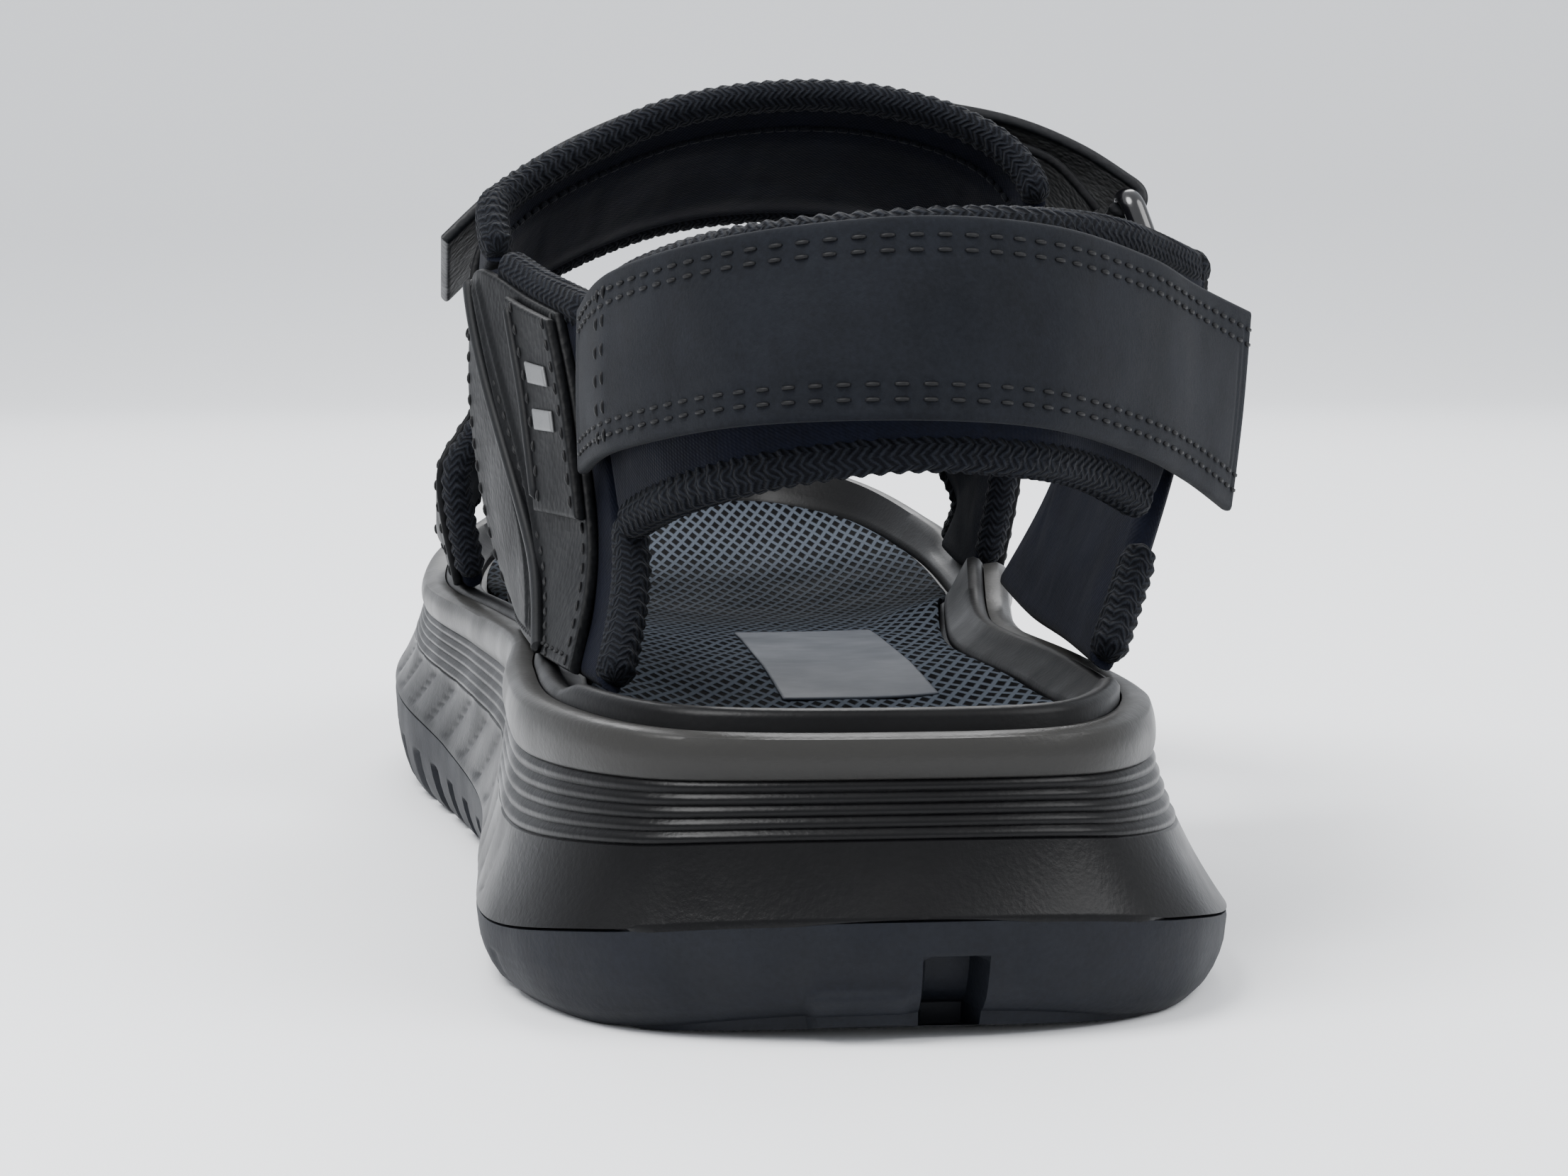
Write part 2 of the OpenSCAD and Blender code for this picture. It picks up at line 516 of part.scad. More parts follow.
module instep_strap_base() {
    path = curve(concat(part(section(INSTEP), 0, 0.6), section([[27, 14], [38, 12.2], [47, 9]]),
                        [instep_bar + [-fold_out - 1.6, -2.6]]), 3);
    color("#1e2024") sloped([0, instep_pivot], instep_slope)
        strip(path, leather_low, leather_high, instep_y, instep_w);
}
module instep_loop_pad() {
    low = leather_high + ply_gap;
    color("#0e1016") sloped([0, instep_pivot], instep_slope)
        strip(part(instep_curve, 0.2, 0.62), low, low + hook_t, instep_y + 2, instep_w - 4);
}
module instep_hook_pad() {
    low = leather_high + hook_t + 2 * ply_gap;
    color("#0c0d10") sloped([0, instep_pivot], instep_slope)
        strip(part(instep_curve, 0.23, 0.6), low, low + hook_t, instep_y + 2.5, instep_w - 5);
}
// A webbing loop around the ring's lower bar, with a tail that lies on the quarter
module keeper(catch, tail, y0, width) {
    web = 2 * fold_skin;
    fold(catch, 0, 300, y0, width, fold_in, fold_in + leather_t);
    strip(concat([catch + [fold_in, 0.4]], curve(concat([catch + [fold_in, 0]], [for (t = tail) catch + t]), 3)),
          web, leather_t - web, y0, width);
}
module instep_keeper() {
    color("#1a1c20") sloped([0, instep_pivot], instep_slope)
        keeper(instep_catch, [[1.3, -4], [0.1, -8]], instep_y + 0.5, instep_w - 1);
}
module instep_ring() {
    color("#0b0b0d") sloped([0, instep_pivot], instep_slope)
        ring(instep_bar, instep_turn, instep_y, instep_w);
}
instep_leave = 50;
module instep_strap() {
    start = leaving(instep_bar, instep_leave);
    flap = curve(concat([start[1]], section([[53, 12.2], [43.5, 16.6], [33, 19.2]]),
                        [for (p = reversed(part(bend(section(INSTEP), stack + strap_t), 0.2, 0.6))) p],
                        section([[-50, -3.4]])), 3);
    color("#232529") sloped([0, instep_pivot], instep_slope) {
        strip(concat([start[0]], flap), fold_skin, strap_t - fold_skin, instep_y, instep_w);
        fold(instep_bar, -150, instep_leave + 4, instep_y, instep_w, fold_in, fold_out);
    }
}

// ---- Forefoot strap ----
// Cross-section of the forefoot saddle, [x, height above its pivot], from the outer to the inner side
FOREFOOT = [[-49.3, -12], [-46, -4], [-40.5, 3.5], [-32, 10], [-20, 15], [-4, 18], [12, 17.6], [26, 14],
            [36, 7.7], [42, -1], [44.5, -9]];
FOREFOOT_REAR = [-24, -23, -21, -18, -15, -14, -15, -17, -19, -20, -20];
FOREFOOT_FRONT = [24, 23, 22, 21, 21, 22, 22, 22, 22, 22, 22];
forefoot_pivot = lip_h + 24 * ku;
forefoot_mid_y = 54 * ky;
function forefoot_row(ys) = [for (i = [0:len(FOREFOOT) - 1])
    on_slope(section(FOREFOOT)[i], ys[i] * ky, forefoot_pivot, forefoot_slope) + [0, forefoot_mid_y, 0]];
forefoot_grid = patch([
    concat(net([[[-46.5, 30]]])[0], forefoot_row(FOREFOOT_REAR), net([[[41.5, 34]]])[0]),
    concat(net([[[-46.8, 54]]])[0], forefoot_row([for (p = FOREFOOT) 0]), net([[[42, 56]]])[0]),
    concat(net([[[-45.6, 78]]])[0], forefoot_row(FOREFOOT_FRONT), net([[[42, 78]]])[0])], 3, 3);
module forefoot_lining() { color("#10141f") sheet(forefoot_grid, -pad_t, 0); }
module forefoot_rear_binding() {
    color("#181c27") cord(trimmed(bottom_edge(forefoot_grid, binding_r, mid_pad), 0.5, 0.5), binding_r);
}
module forefoot_front_binding() {
    color("#181c27") cord(trimmed(top_edge(forefoot_grid, binding_r, mid_pad), 0.5, 0.5), binding_r);
}
module forefoot_lateral_panel() {
    color("#1e2024") sheet(window(forefoot_grid, 0.03, 0.24, 0, 1), leather_low, leather_high);
}
module forefoot_medial_panel() {
    color("#1e2024") sheet(window(forefoot_grid, 0.79, 0.97, 0, 1), leather_low, leather_high);
}
module forefoot_slope_frame() {
    sloped([forefoot_mid_y, forefoot_pivot], forefoot_slope) children();
}
forefoot_bar = [37 * kx, 15 * ku];
forefoot_turn = -45;
forefoot_leave = 68;
forefoot_y = 2.5 - forefoot_w / 2;
forefoot_catch = forefoot_bar + [cos(forefoot_turn), sin(forefoot_turn)] * bar_gap;
forefoot_curve = curve(section(FOREFOOT), 3);
module forefoot_strap_base() {
    path = concat(part(forefoot_curve, 0.3, 0.7), [forefoot_bar + [-fold_out - 0.5, -2.2]]);
    color("#1e2024") forefoot_slope_frame()
        strip(path, leather_low, leather_high, forefoot_y, forefoot_w);
}
module forefoot_loop_pad() {
    low = leather_high + ply_gap;
    color("#0e1016") forefoot_slope_frame()
        strip(part(forefoot_curve, 0.34, 0.62), low, low + hook_t, forefoot_y + 2, forefoot_w - 4);
}
module forefoot_hook_pad() {
    low = leather_high + hook_t + 2 * ply_gap;
    color("#0c0d10") forefoot_slope_frame()
        strip(part(forefoot_curve, 0.36, 0.6), low, low + hook_t, forefoot_y + 2.5, forefoot_w - 5);
}
module forefoot_keeper() {
    color("#1a1c20") forefoot_slope_frame()
        keeper(forefoot_catch, [[0.2, -4], [-1.7, -8]], forefoot_y + 0.5, forefoot_w - 1);
}
module forefoot_ring() {
    color("#0b0b0d") forefoot_slope_frame()
        ring(forefoot_bar, forefoot_turn, forefoot_y, forefoot_w);
}
module forefoot_strap() {
    start = leaving(forefoot_bar, forefoot_leave);
    flap = curve(concat([start[1]], section([[29, 21.8]]),
                        reversed(part(bend(section(FOREFOOT), stack + strap_t), 0.28, 0.62))), 3);
    color("#232529") forefoot_slope_frame() {
        strip(concat([start[0]], flap), fold_skin, strap_t - fold_skin, forefoot_y, forefoot_w);
        fold(forefoot_bar, -150, forefoot_leave + 4, forefoot_y, forefoot_w, fold_in, fold_out);
    }
}

outsole();
midsole();
footbed_frame();
footbed_inlay();
footbed_label();
lateral_lining();
lateral_quarter();
lateral_piping();
lateral_rear_binding();
lateral_top_binding();
medial_lining();
medial_quarter();
medial_rear_binding();
medial_top_binding();
heel_band();
heel_band_top_binding();
heel_band_bottom_binding();
heel_strap_anchor();
heel_strap();
heel_strap_hook_pad();
heel_strap_loop_pad();
instep_pad();
instep_pad_rear_binding();
instep_pad_front_binding();
instep_strap_base();
instep_loop_pad();
instep_keeper();
instep_ring();
instep_strap();
instep_hook_pad();
forefoot_lining();
forefoot_rear_binding();
forefoot_front_binding();
forefoot_lateral_panel();
forefoot_medial_panel();
forefoot_strap_base();
forefoot_loop_pad();
forefoot_keeper();
forefoot_ring();
forefoot_strap();
forefoot_hook_pad();
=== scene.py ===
"""A left-foot sport sandal: moulded sole, padded strap upper, and three straps that open."""
import json
import logging
import math
from collections.abc import Callable
from dataclasses import dataclass, field
from enum import Enum
from typing import Union

import bmesh
import bpy
import numpy as np
from mathutils import Euler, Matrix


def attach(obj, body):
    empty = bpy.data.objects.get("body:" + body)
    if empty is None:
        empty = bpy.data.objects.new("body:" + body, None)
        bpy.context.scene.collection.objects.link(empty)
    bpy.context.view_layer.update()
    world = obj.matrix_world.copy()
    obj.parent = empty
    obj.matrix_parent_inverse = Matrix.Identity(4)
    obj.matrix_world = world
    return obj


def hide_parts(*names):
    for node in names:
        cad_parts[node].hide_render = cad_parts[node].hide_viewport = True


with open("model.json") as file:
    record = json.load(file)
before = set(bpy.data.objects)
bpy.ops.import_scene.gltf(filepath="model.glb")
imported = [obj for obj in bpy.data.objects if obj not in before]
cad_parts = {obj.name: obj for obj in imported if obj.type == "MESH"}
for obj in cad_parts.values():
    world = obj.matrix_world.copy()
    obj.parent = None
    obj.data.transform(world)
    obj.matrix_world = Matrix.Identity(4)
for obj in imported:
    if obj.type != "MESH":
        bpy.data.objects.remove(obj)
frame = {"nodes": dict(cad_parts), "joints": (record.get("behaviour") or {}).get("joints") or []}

Array = np.ndarray
Object = bpy.types.Object
Material = bpy.types.Material
Socket = bpy.types.NodeSocket
Value = Union[Socket, float]
Field = Callable[[Array, Array], Array]
Relief = Callable[[Array, Array, Array], Array]
Places = list[tuple[float, float]]
log = logging.getLogger("sandal")
MM = 0.001
TAU = 2 * math.pi
TANGENT_STEP = 0.004
RUN_SAMPLES = 200
EDGE_SAMPLES = 260
JOIN_MM = 0.002


# ---------------------------------------------------------------- curves and surfaces
def weights(count: int, t: Array, closed: bool = False) -> Array:
    """Catmull-Rom weights: each row holds the share of every control point in one sample.

    Args:
        count: number of control points.
        t: sample places, counted in control points.
        closed: whether the last point joins the first.
    Returns:
        An array of len(t) rows and count columns.
    """
    first = np.floor(t).astype(int) if closed else np.clip(np.floor(t).astype(int), 0, count - 2)
    f = t - first
    parts = [-f + 2 * f**2 - f**3, 2 - 5 * f**2 + 3 * f**3, f + 4 * f**2 - 3 * f**3, f**3 - f**2]
    table = np.zeros((len(t), count))
    for step, part in enumerate(parts):
        place = (first - 1 + step) % count if closed else np.clip(first - 1 + step, 0, count - 1)
        np.add.at(table, (np.arange(len(t)), place), 0.5 * part)
    return table


def straight(count: int, t: Array) -> Array:
    """Weights of straight lines between control points, in the same form as weights()."""
    first = np.clip(np.floor(t).astype(int), 0, count - 2)
    table = np.zeros((len(t), count))
    table[np.arange(len(t)), first] = 1 - (t - first)
    table[np.arange(len(t)), first + 1] += t - first
    return table


def smooth_path(points: Array, steps: int) -> Array:
    """A Catmull-Rom path through points, with steps samples in each stretch."""
    count = len(points)
    return weights(count, np.linspace(0, count - 1, (count - 1) * steps + 1)) @ points


def unit(v: Array) -> Array:
    """The vectors of an array, each at length 1."""
    return v / np.maximum(np.linalg.norm(v, axis=-1, keepdims=True), 1e-9)


def offset_path(path: Array, distance: float) -> Array:
    """A flat path moved to its left by a distance, along the mean normal at each point."""
    tangent = unit(np.gradient(path, axis=0))
    return path + np.stack([-tangent[:, 1], tangent[:, 0]], 1) * distance


def step_up(x: Array, low: float, high: float) -> Array:
    """0 below low, 1 above high, and the cubic 3t^2 - 2t^3 between them."""
    t = np.clip((x - low) / (high - low), 0, 1)
    return t * t * (3 - 2 * t)


def arc_lengths(points: Array, axis: int) -> Array:
    """Running length along one axis of a grid of points."""
    legs = np.linalg.norm(np.diff(points, axis=axis), axis=-1)
    pad = [(1, 0) if k == axis else (0, 0) for k in range(legs.ndim)]
    return np.cumsum(np.pad(legs, pad), axis=axis)


@dataclass
class Surface:
    """A sheet spanned by a net of points in millimetres: u runs along rows, v from row to row."""

    net: Array
    flat_rows: bool = False

    def _weights(self, u: Array, v: Array) -> tuple[Array, Array]:
        """Weights of the columns at u and of the rows at v, both from 0 to 1."""
        rows, cols = self.net.shape[:2]
        across = straight if self.flat_rows else weights
        return weights(cols, u * (cols - 1)), across(rows, v * (rows - 1))

    def grid(self, u: Array, v: Array) -> Array:
        """Points at every u and v, as an array of len(v) rows and len(u) columns."""
        wu, wv = self._weights(u, v)
        return np.einsum("ai,ijd,bj->abd", wv, self.net, wu)

    def points(self, u: Array, v: Array) -> Array:
        """Points at pairs of u and v."""
        wu, wv = self._weights(u, v)
        return np.einsum("ki,ijd,kj->kd", wv, self.net, wu)

    def normals(self, u: Array, v: Array) -> Array:
        """Outward unit normals at pairs of u and v: the cross product of the two tangents."""
        e = TANGENT_STEP
        du = self.points(np.clip(u + e, 0, 1), v) - self.points(np.clip(u - e, 0, 1), v)
        dv = self.points(u, np.clip(v + e, 0, 1)) - self.points(u, np.clip(v - e, 0, 1))
        return unit(np.cross(du, dv))

    def up_to(self, mm: float, u: float = 0.5) -> float:
        """Finds how far up the sheet a distance lies.

        Args:
            mm: distance from the first row, or from the last row if it is below 0.
            u: where along the rows it is measured.
        Returns:
            The v at that distance.
        """
        v = np.linspace(0, 1, RUN_SAMPLES)
        run = arc_lengths(self.points(np.full(RUN_SAMPLES, u), v), 0)
        return float(np.interp(mm if mm >= 0 else run[-1] + mm, run, v))


def grid_normals(grid: Array) -> Array:
    """Outward normals of a grid: tangent along a row crossed with tangent from row to row."""
    return unit(np.cross(np.gradient(grid, axis=1), np.gradient(grid, axis=0)))


# ---------------------------------------------------------------- meshes
def quads(rows: int, cols: int, start: int = 0, flip: bool = False) -> Array:
    """Corner numbers of a grid's faces, which look along u cross v unless flipped."""
    a = start + (np.arange(rows - 1)[:, None] * cols + np.arange(cols - 1)).ravel()
    faces = np.stack([a, a + 1, a + cols + 1, a + cols], 1)
    return faces[:, ::-1] if flip else faces


def make_mesh(name: str, points: Array, faces: Array, finish: Material, uv: Array | None = None,
              sharp: float = 42.0, merge: bool = False) -> Object:
    """Puts points in millimetres and faces into a new smooth-shaded object.

    Args:
        name: the piece's name.
        points: corner places, in millimetres.
        faces: corner numbers, four a face.
        finish: the material.
        uv: flat place of each point, in metres, for patterns that follow the sheet.
        sharp: edges turning by more than this many degrees are kept crisp.
        merge: whether doubled points are joined, which closes seams and poles.
    Returns:
        The object, with its place in its mesh.
    """
    mesh = bpy.data.meshes.new(name)
    mesh.from_pydata((points * MM).tolist(), [], faces.tolist())
    if uv is not None:
        layer = mesh.uv_layers.new(name="UVMap")
        corners = np.empty(len(mesh.loops), np.int32)
        mesh.loops.foreach_get("vertex_index", corners)
        layer.data.foreach_set("uv", uv[corners].ravel().astype(np.float32))
    if merge:
        shape = bmesh.new()
        shape.from_mesh(mesh)
        bmesh.ops.remove_doubles(shape, verts=shape.verts, dist=JOIN_MM * MM)
        shape.to_mesh(mesh)
        shape.free()
    mesh.shade_smooth()
    mesh.set_sharp_from_angle(angle=math.radians(sharp))
    mesh.materials.append(finish)
    piece = bpy.data.objects.new(name, mesh)
    bpy.context.scene.collection.objects.link(piece)
    return piece


def shell(low: Array, high: Array) -> tuple[Array, Array, Array]:
    """A closed sheet between two matching grids.

    Args:
        low: grid of the inner face.
        high: grid of the outer face.
    Returns:
        Points, faces and a flat place in metres for each point.
    """
    rows, cols = low.shape[:2]
    half = rows * cols
    u = np.arange(cols - 1)
    v = np.arange(rows - 1)
    last = (rows - 1) * cols
    end = cols - 1
    strips = [
        np.stack([u, u + 1, half + u + 1, half + u], 1),
        np.stack([half + last + u, half + last + u + 1, last + u + 1, last + u], 1),
        np.stack([(v + 1) * cols, v * cols, half + v * cols, half + (v + 1) * cols], 1),
        np.stack([v * cols + end, (v + 1) * cols + end,
                  half + (v + 1) * cols + end, half + v * cols + end], 1),
    ]
    faces = np.concatenate([quads(rows, cols, half), quads(rows, cols, flip=True), *strips])
    flat = np.stack([arc_lengths(high, 1), arc_lengths(high, 0)], -1).reshape(-1, 2) * MM
    return np.concatenate([low.reshape(-1, 3), high.reshape(-1, 3)]), faces, np.concatenate([flat, flat])


def fine_steps(count: int, length: float, round_mm: float, start: float = 0.0, stop: float = 1.0) -> Array:
    """Even steps with close ones near both ends, where an edge is rounded.

    Args:
        count: number of even steps.
        length: length of the sheet in this direction, in millimetres.
        round_mm: radius of the rounded edge.
        start: the first step.
        stop: the last step.
    Returns:
        Places from start to stop.
    """
    near = np.array([0, 0.12, 0.35, 0.7, 1.1]) * 2 * round_mm / length
    even = np.linspace(near[-1], 1 - near[-1], count)
    return start + (stop - start) * np.concatenate([near[:-1], even, 1 - near[-2::-1]])


@dataclass
class Slab:
    """A sheet with thickness and rounded edges over part of a surface. Millimetres.

    Once built, sewn holds 1 for each point of the outer face and of the bound edge, and 0 for each free one.
    """

    surface: Surface
    low: float
    high: float
    span_u: tuple[float, float] = (0.0, 1.0)
    span_v: tuple[float, float] = (0.0, 1.0)
    round_mm: float = 0.5
    crown: float = 0.0
    count: tuple[int, int] = (90, 24)
    bound_w: float = 3.4
    fade_w: float = 12.0
    sewn: Array | None = field(default=None, repr=False)

    def build(self, name: str, finish: Material, relief: Relief | None = None) -> Object:
        """Builds the sheet: both faces stand off the surface and come together along a circle at the edge.

        Args:
            name: the piece's name.
            finish: the material.
            relief: height added to the outer face, from the lengths along and up the sheet and the
                distance to its nearest edge.
        Returns:
            The new piece.
        """
        ends = self.surface.grid(np.linspace(*self.span_u, 9), np.linspace(*self.span_v, 5))
        size = arc_lengths(ends, 1)[2, -1], arc_lengths(ends, 0)[-1, 4]
        u = fine_steps(self.count[0], size[0], self.round_mm, *self.span_u)
        v = fine_steps(self.count[1], size[1], self.round_mm, *self.span_v)
        grid = self.surface.grid(u, v)
        out = grid_normals(grid)
        along, up = arc_lengths(grid, 1), arc_lengths(grid, 0)
        edge = np.minimum(np.minimum(along, along[:, -1:] - along), np.minimum(up, up[-1:] - up))
        short = np.clip(self.round_mm - edge, 0, self.round_mm)
        drop = self.round_mm - np.sqrt(self.round_mm**2 - short**2)
        swell = self.crown * step_up(edge, 0, self.fade_w)
        outer = self.high - drop + (0 if relief is None else relief(along, up, edge))
        inner = self.low + drop - swell
        points, faces, flat = shell(grid + out * inner[..., None], grid + out * outer[..., None])
        self.sewn = np.concatenate([np.where(edge < self.bound_w, 1.0, 0.0).ravel(), np.ones(edge.size)])
        return make_mesh(name, points, faces, finish, flat)


def tube(path: Array, side: Array, out: Array, half_w: float, half_t: float,
         ripple: Field | None = None,
         sides: int = 18) -> tuple[Array, Array, Array]:
    """A closed tube of oval section along a path, with domed ends.

    Args:
        path: points along the middle, in millimetres.
        side: unit vectors across the tube, in which it is half_w wide each way.
        out: unit vectors in which it is half_t thick each way.
        half_w: half of the width.
        half_t: half of the thickness.
        ripple: height in millimetres from (length along, angle around), as arrays.
        sides: number of points around.
    Returns:
        Points, faces and flat places.
    """
    angle = np.arange(sides + 1) * TAU / sides
    run = arc_lengths(path, 0)
    dome = np.sqrt(np.clip(1 - (1 - np.minimum(run, run[-1] - run) / half_w) ** 2, 0.0025, 1))
    dome = np.where(np.minimum(run, run[-1] - run) > half_w, 1, dome)[:, None]
    extra = 0 if ripple is None else ripple(run[:, None], angle[None, :])
    wide = (half_w + extra) * dome * np.cos(angle)
    thick = (half_t + extra) * dome * np.sin(angle)
    ring = path[:, None] + side[:, None] * wide[..., None] + out[:, None] * thick[..., None]
    caps = [np.repeat(path[k][None, None], sides + 1, 1) for k in (0, -1)]
    ring = np.concatenate([caps[0], ring, caps[1]])
    flat = np.stack([np.concatenate([[run[0]], run, [run[-1]]])[:, None] + 0 * angle,
                     (half_w + half_t) * angle / 2 + 0 * ring[..., 0]], -1) * MM
    return ring.reshape(-1, 3), quads(*ring.shape[:2]), flat.reshape(-1, 2)


def evened(path: Array, step: float, *others: Array) -> list[Array]:
    """Samples a path again at even steps along its length.

    Args:
        path: points, in millimetres.
        step: distance from sample to sample.
        others: arrays that go with the path, row by row.
    Returns:
        The path and then each of the others, at the new places.
    """
    run = arc_lengths(path, 0)
    at = np.linspace(0, run[-1], max(4, int(run[-1] / step)))
    return [np.stack([np.interp(at, run, a[:, k]) for k in range(a.shape[1])], 1) for a in (path, *others)]


def stitch_row(name: str, surface: Surface, u: Array, v: Array, lift: float, finish: Material,
               pitch: float = 3.3, dash: float = 2.0, thick: float = 0.34) -> Object:
    """A row of thread stitches: one small oval bead for each, dipping into the sheet at both ends.

    Args:
        name: the piece's name.
        surface: what the row is sewn on.
        u: places along the surface.
        v: places across the surface, paired with u.
        lift: height of the sewn face above the surface.
        finish: the thread's material.
        pitch: distance from stitch to stitch.
        dash: length of the thread that shows.
        thick: half of the thread's thickness.
    Returns:
        One piece that holds the whole row.
    """
    path = surface.points(u, v) + surface.normals(u, v) * lift
    path, out = evened(path, pitch, surface.normals(u, v))
    along = unit(np.gradient(path, axis=0))
    out = unit(out)
    across = np.cross(out, along)
    turn = np.linspace(0, math.pi, 6)
    angle = np.arange(7) * TAU / 6
    rise = np.sin(turn)[:, None]
    full = rise ** 0.6 * thick
    body = np.stack([-np.cos(turn)[:, None] * dash / 2 + 0 * angle, full * np.cos(angle),
                     full * np.sin(angle) + (rise - 0.6) * 0.25], -1)
    body = body.reshape(-1, 3)
    points = (path[:, None] + along[:, None] * body[None, :, :1] + across[:, None] * body[None, :, 1:2]
              + out[:, None] * body[None, :, 2:])
    faces = quads(6, 7)
    every = faces[None] + (np.arange(len(path)) * len(body))[:, None, None]
    return make_mesh(name, points.reshape(-1, 3), every.reshape(-1, 4), finish, sharp=80, merge=True)


def plump(piece: Object, held: Array, most_mm: float, pressure: float = 4.0, frames: int = 10) -> None:
    """Fills a lining like a cushion: its free points swell as cloth under pressure, and the result is kept.

    A point moves from its start by the cloth's own move, shortened so that none goes further than most_mm:
    the length d becomes most_mm times the hyperbolic tangent of d over most_mm.

    Args:
        piece: the closed lining.
        held: 1 for each point that stays where it is sewn, 0 for each free one.
        most_mm: the furthest that a point may move, in millimetres.
        pressure: the air pressure inside.
        frames: how many steps are run.
    """
    mesh, scene = piece.data, bpy.context.scene
    group = piece.vertex_groups.new(name="sewn")
    group.add(np.flatnonzero(held > 0.5).tolist(), 1.0, "REPLACE")
    cloth = piece.modifiers.new("filling", "CLOTH")
    cloth.settings.vertex_group_mass = "sewn"
    cloth.settings.quality = 6
    cloth.settings.mass = 0.2
    cloth.settings.tension_stiffness = cloth.settings.compression_stiffness = 8
    cloth.settings.bending_stiffness = 0.3
    cloth.settings.use_pressure = True
    cloth.settings.uniform_pressure_force = pressure
    cloth.settings.effector_weights.gravity = 0
    cloth.collision_settings.use_collision = False
    cloth.point_cache.frame_start, cloth.point_cache.frame_end = 1, frames
    start = np.empty(len(mesh.vertices) * 3)
    mesh.vertices.foreach_get("co", start)
    start = start.reshape(-1, 3)
    for frame_number in range(1, frames + 1):
        scene.frame_set(frame_number)
    swollen = piece.evaluated_get(bpy.context.evaluated_depsgraph_get()).to_mesh()
    end = np.empty(len(start) * 3)
    swollen.vertices.foreach_get("co", end)
    piece.evaluated_get(bpy.context.evaluated_depsgraph_get()).to_mesh_clear()
    piece.modifiers.remove(cloth)
    piece.vertex_groups.remove(group)
    move = np.nan_to_num(end.reshape(-1, 3) - start)
    far = np.linalg.norm(move, axis=1, keepdims=True)
    limit = most_mm * MM
    move *= limit * np.tanh(far / limit) / np.maximum(far, 1e-12)
    mesh.vertices.foreach_set("co", (start + move).ravel())
    mesh.update()
    scene.frame_set(1)
    log.info("%s plumped by %.2f mm at most", piece.name, np.linalg.norm(move, axis=1).max() / MM)


# ---------------------------------------------------------------- finishes
class Grain(Enum):
    """The small-scale surface of a finish."""

    RUBBER = "fine moulded stipple"
    LEATHER = "pebbled skin"
    NUBUCK = "short brushed nap"
    JERSEY = "fine stretch knit"
    KNIT = "coarse zigzag overlock"
    LOZENGE = "open lozenge mesh"
    BAND = "stipple under a paler band along the top"
    WEBBING = "basket weave"
    TAPE = "hook or loop pile"
    SMOOTH = "smooth plastic"


class Graph:
    """A material's nodes, made one after another."""

    def __init__(self, name: str) -> None:
        """Starts an empty material with its surface shader."""
        self.material = bpy.data.materials.new(name)
        self.material.use_nodes = True
        self.tree = self.material.node_tree
        self.shader = self.tree.nodes["Principled BSDF"]

    def node(self, kind: str, inputs: dict | None = None, **settings) -> bpy.types.Node:
        """Adds a node.

        Args:
            kind: the node's type.
            inputs: for each input, a value to fill it with or a socket to join it to.
            settings: the node's properties.
        Returns:
            The new node.
        """
        made = self.tree.nodes.new(kind)
        for key, value in settings.items():
            setattr(made, key, value)
        for key, value in (inputs or {}).items():
            if isinstance(value, Socket):
                self.tree.links.new(value, made.inputs[key])
            else:
                made.inputs[key].default_value = value
        return made

    def math(self, operation: str, a: Value, b: Value = 0.0) -> Socket:
        """The result of one sum on two numbers or sockets."""
        return self.node("ShaderNodeMath", {0: a, 1: b}, operation=operation).outputs[0]

    def noise(self, place: Socket, size_mm: float, detail: float = 3.0, rough: float = 0.55) -> Socket:
        """Noise whose features are about size_mm across."""
        inputs = {"Vector": place, "Scale": 1000 / size_mm, "Detail": detail, "Roughness": rough}
        return self.node("ShaderNodeTexNoise", inputs).outputs["Fac"]

    def wave(self, place: Socket, period_mm: float) -> Socket:
        """A sine along a length in metres, from -1 to 1, with the given period."""
        return self.math("SINE", self.math("MULTIPLY", place, TAU * 1000 / period_mm))

    def zigzag(self, place: Socket, period_mm: float) -> Socket:
        """A triangle wave along a length in metres, from 0 to 0.5."""
        return self.math("PINGPONG", self.math("MULTIPLY", place, 1000 / period_mm), 0.5)


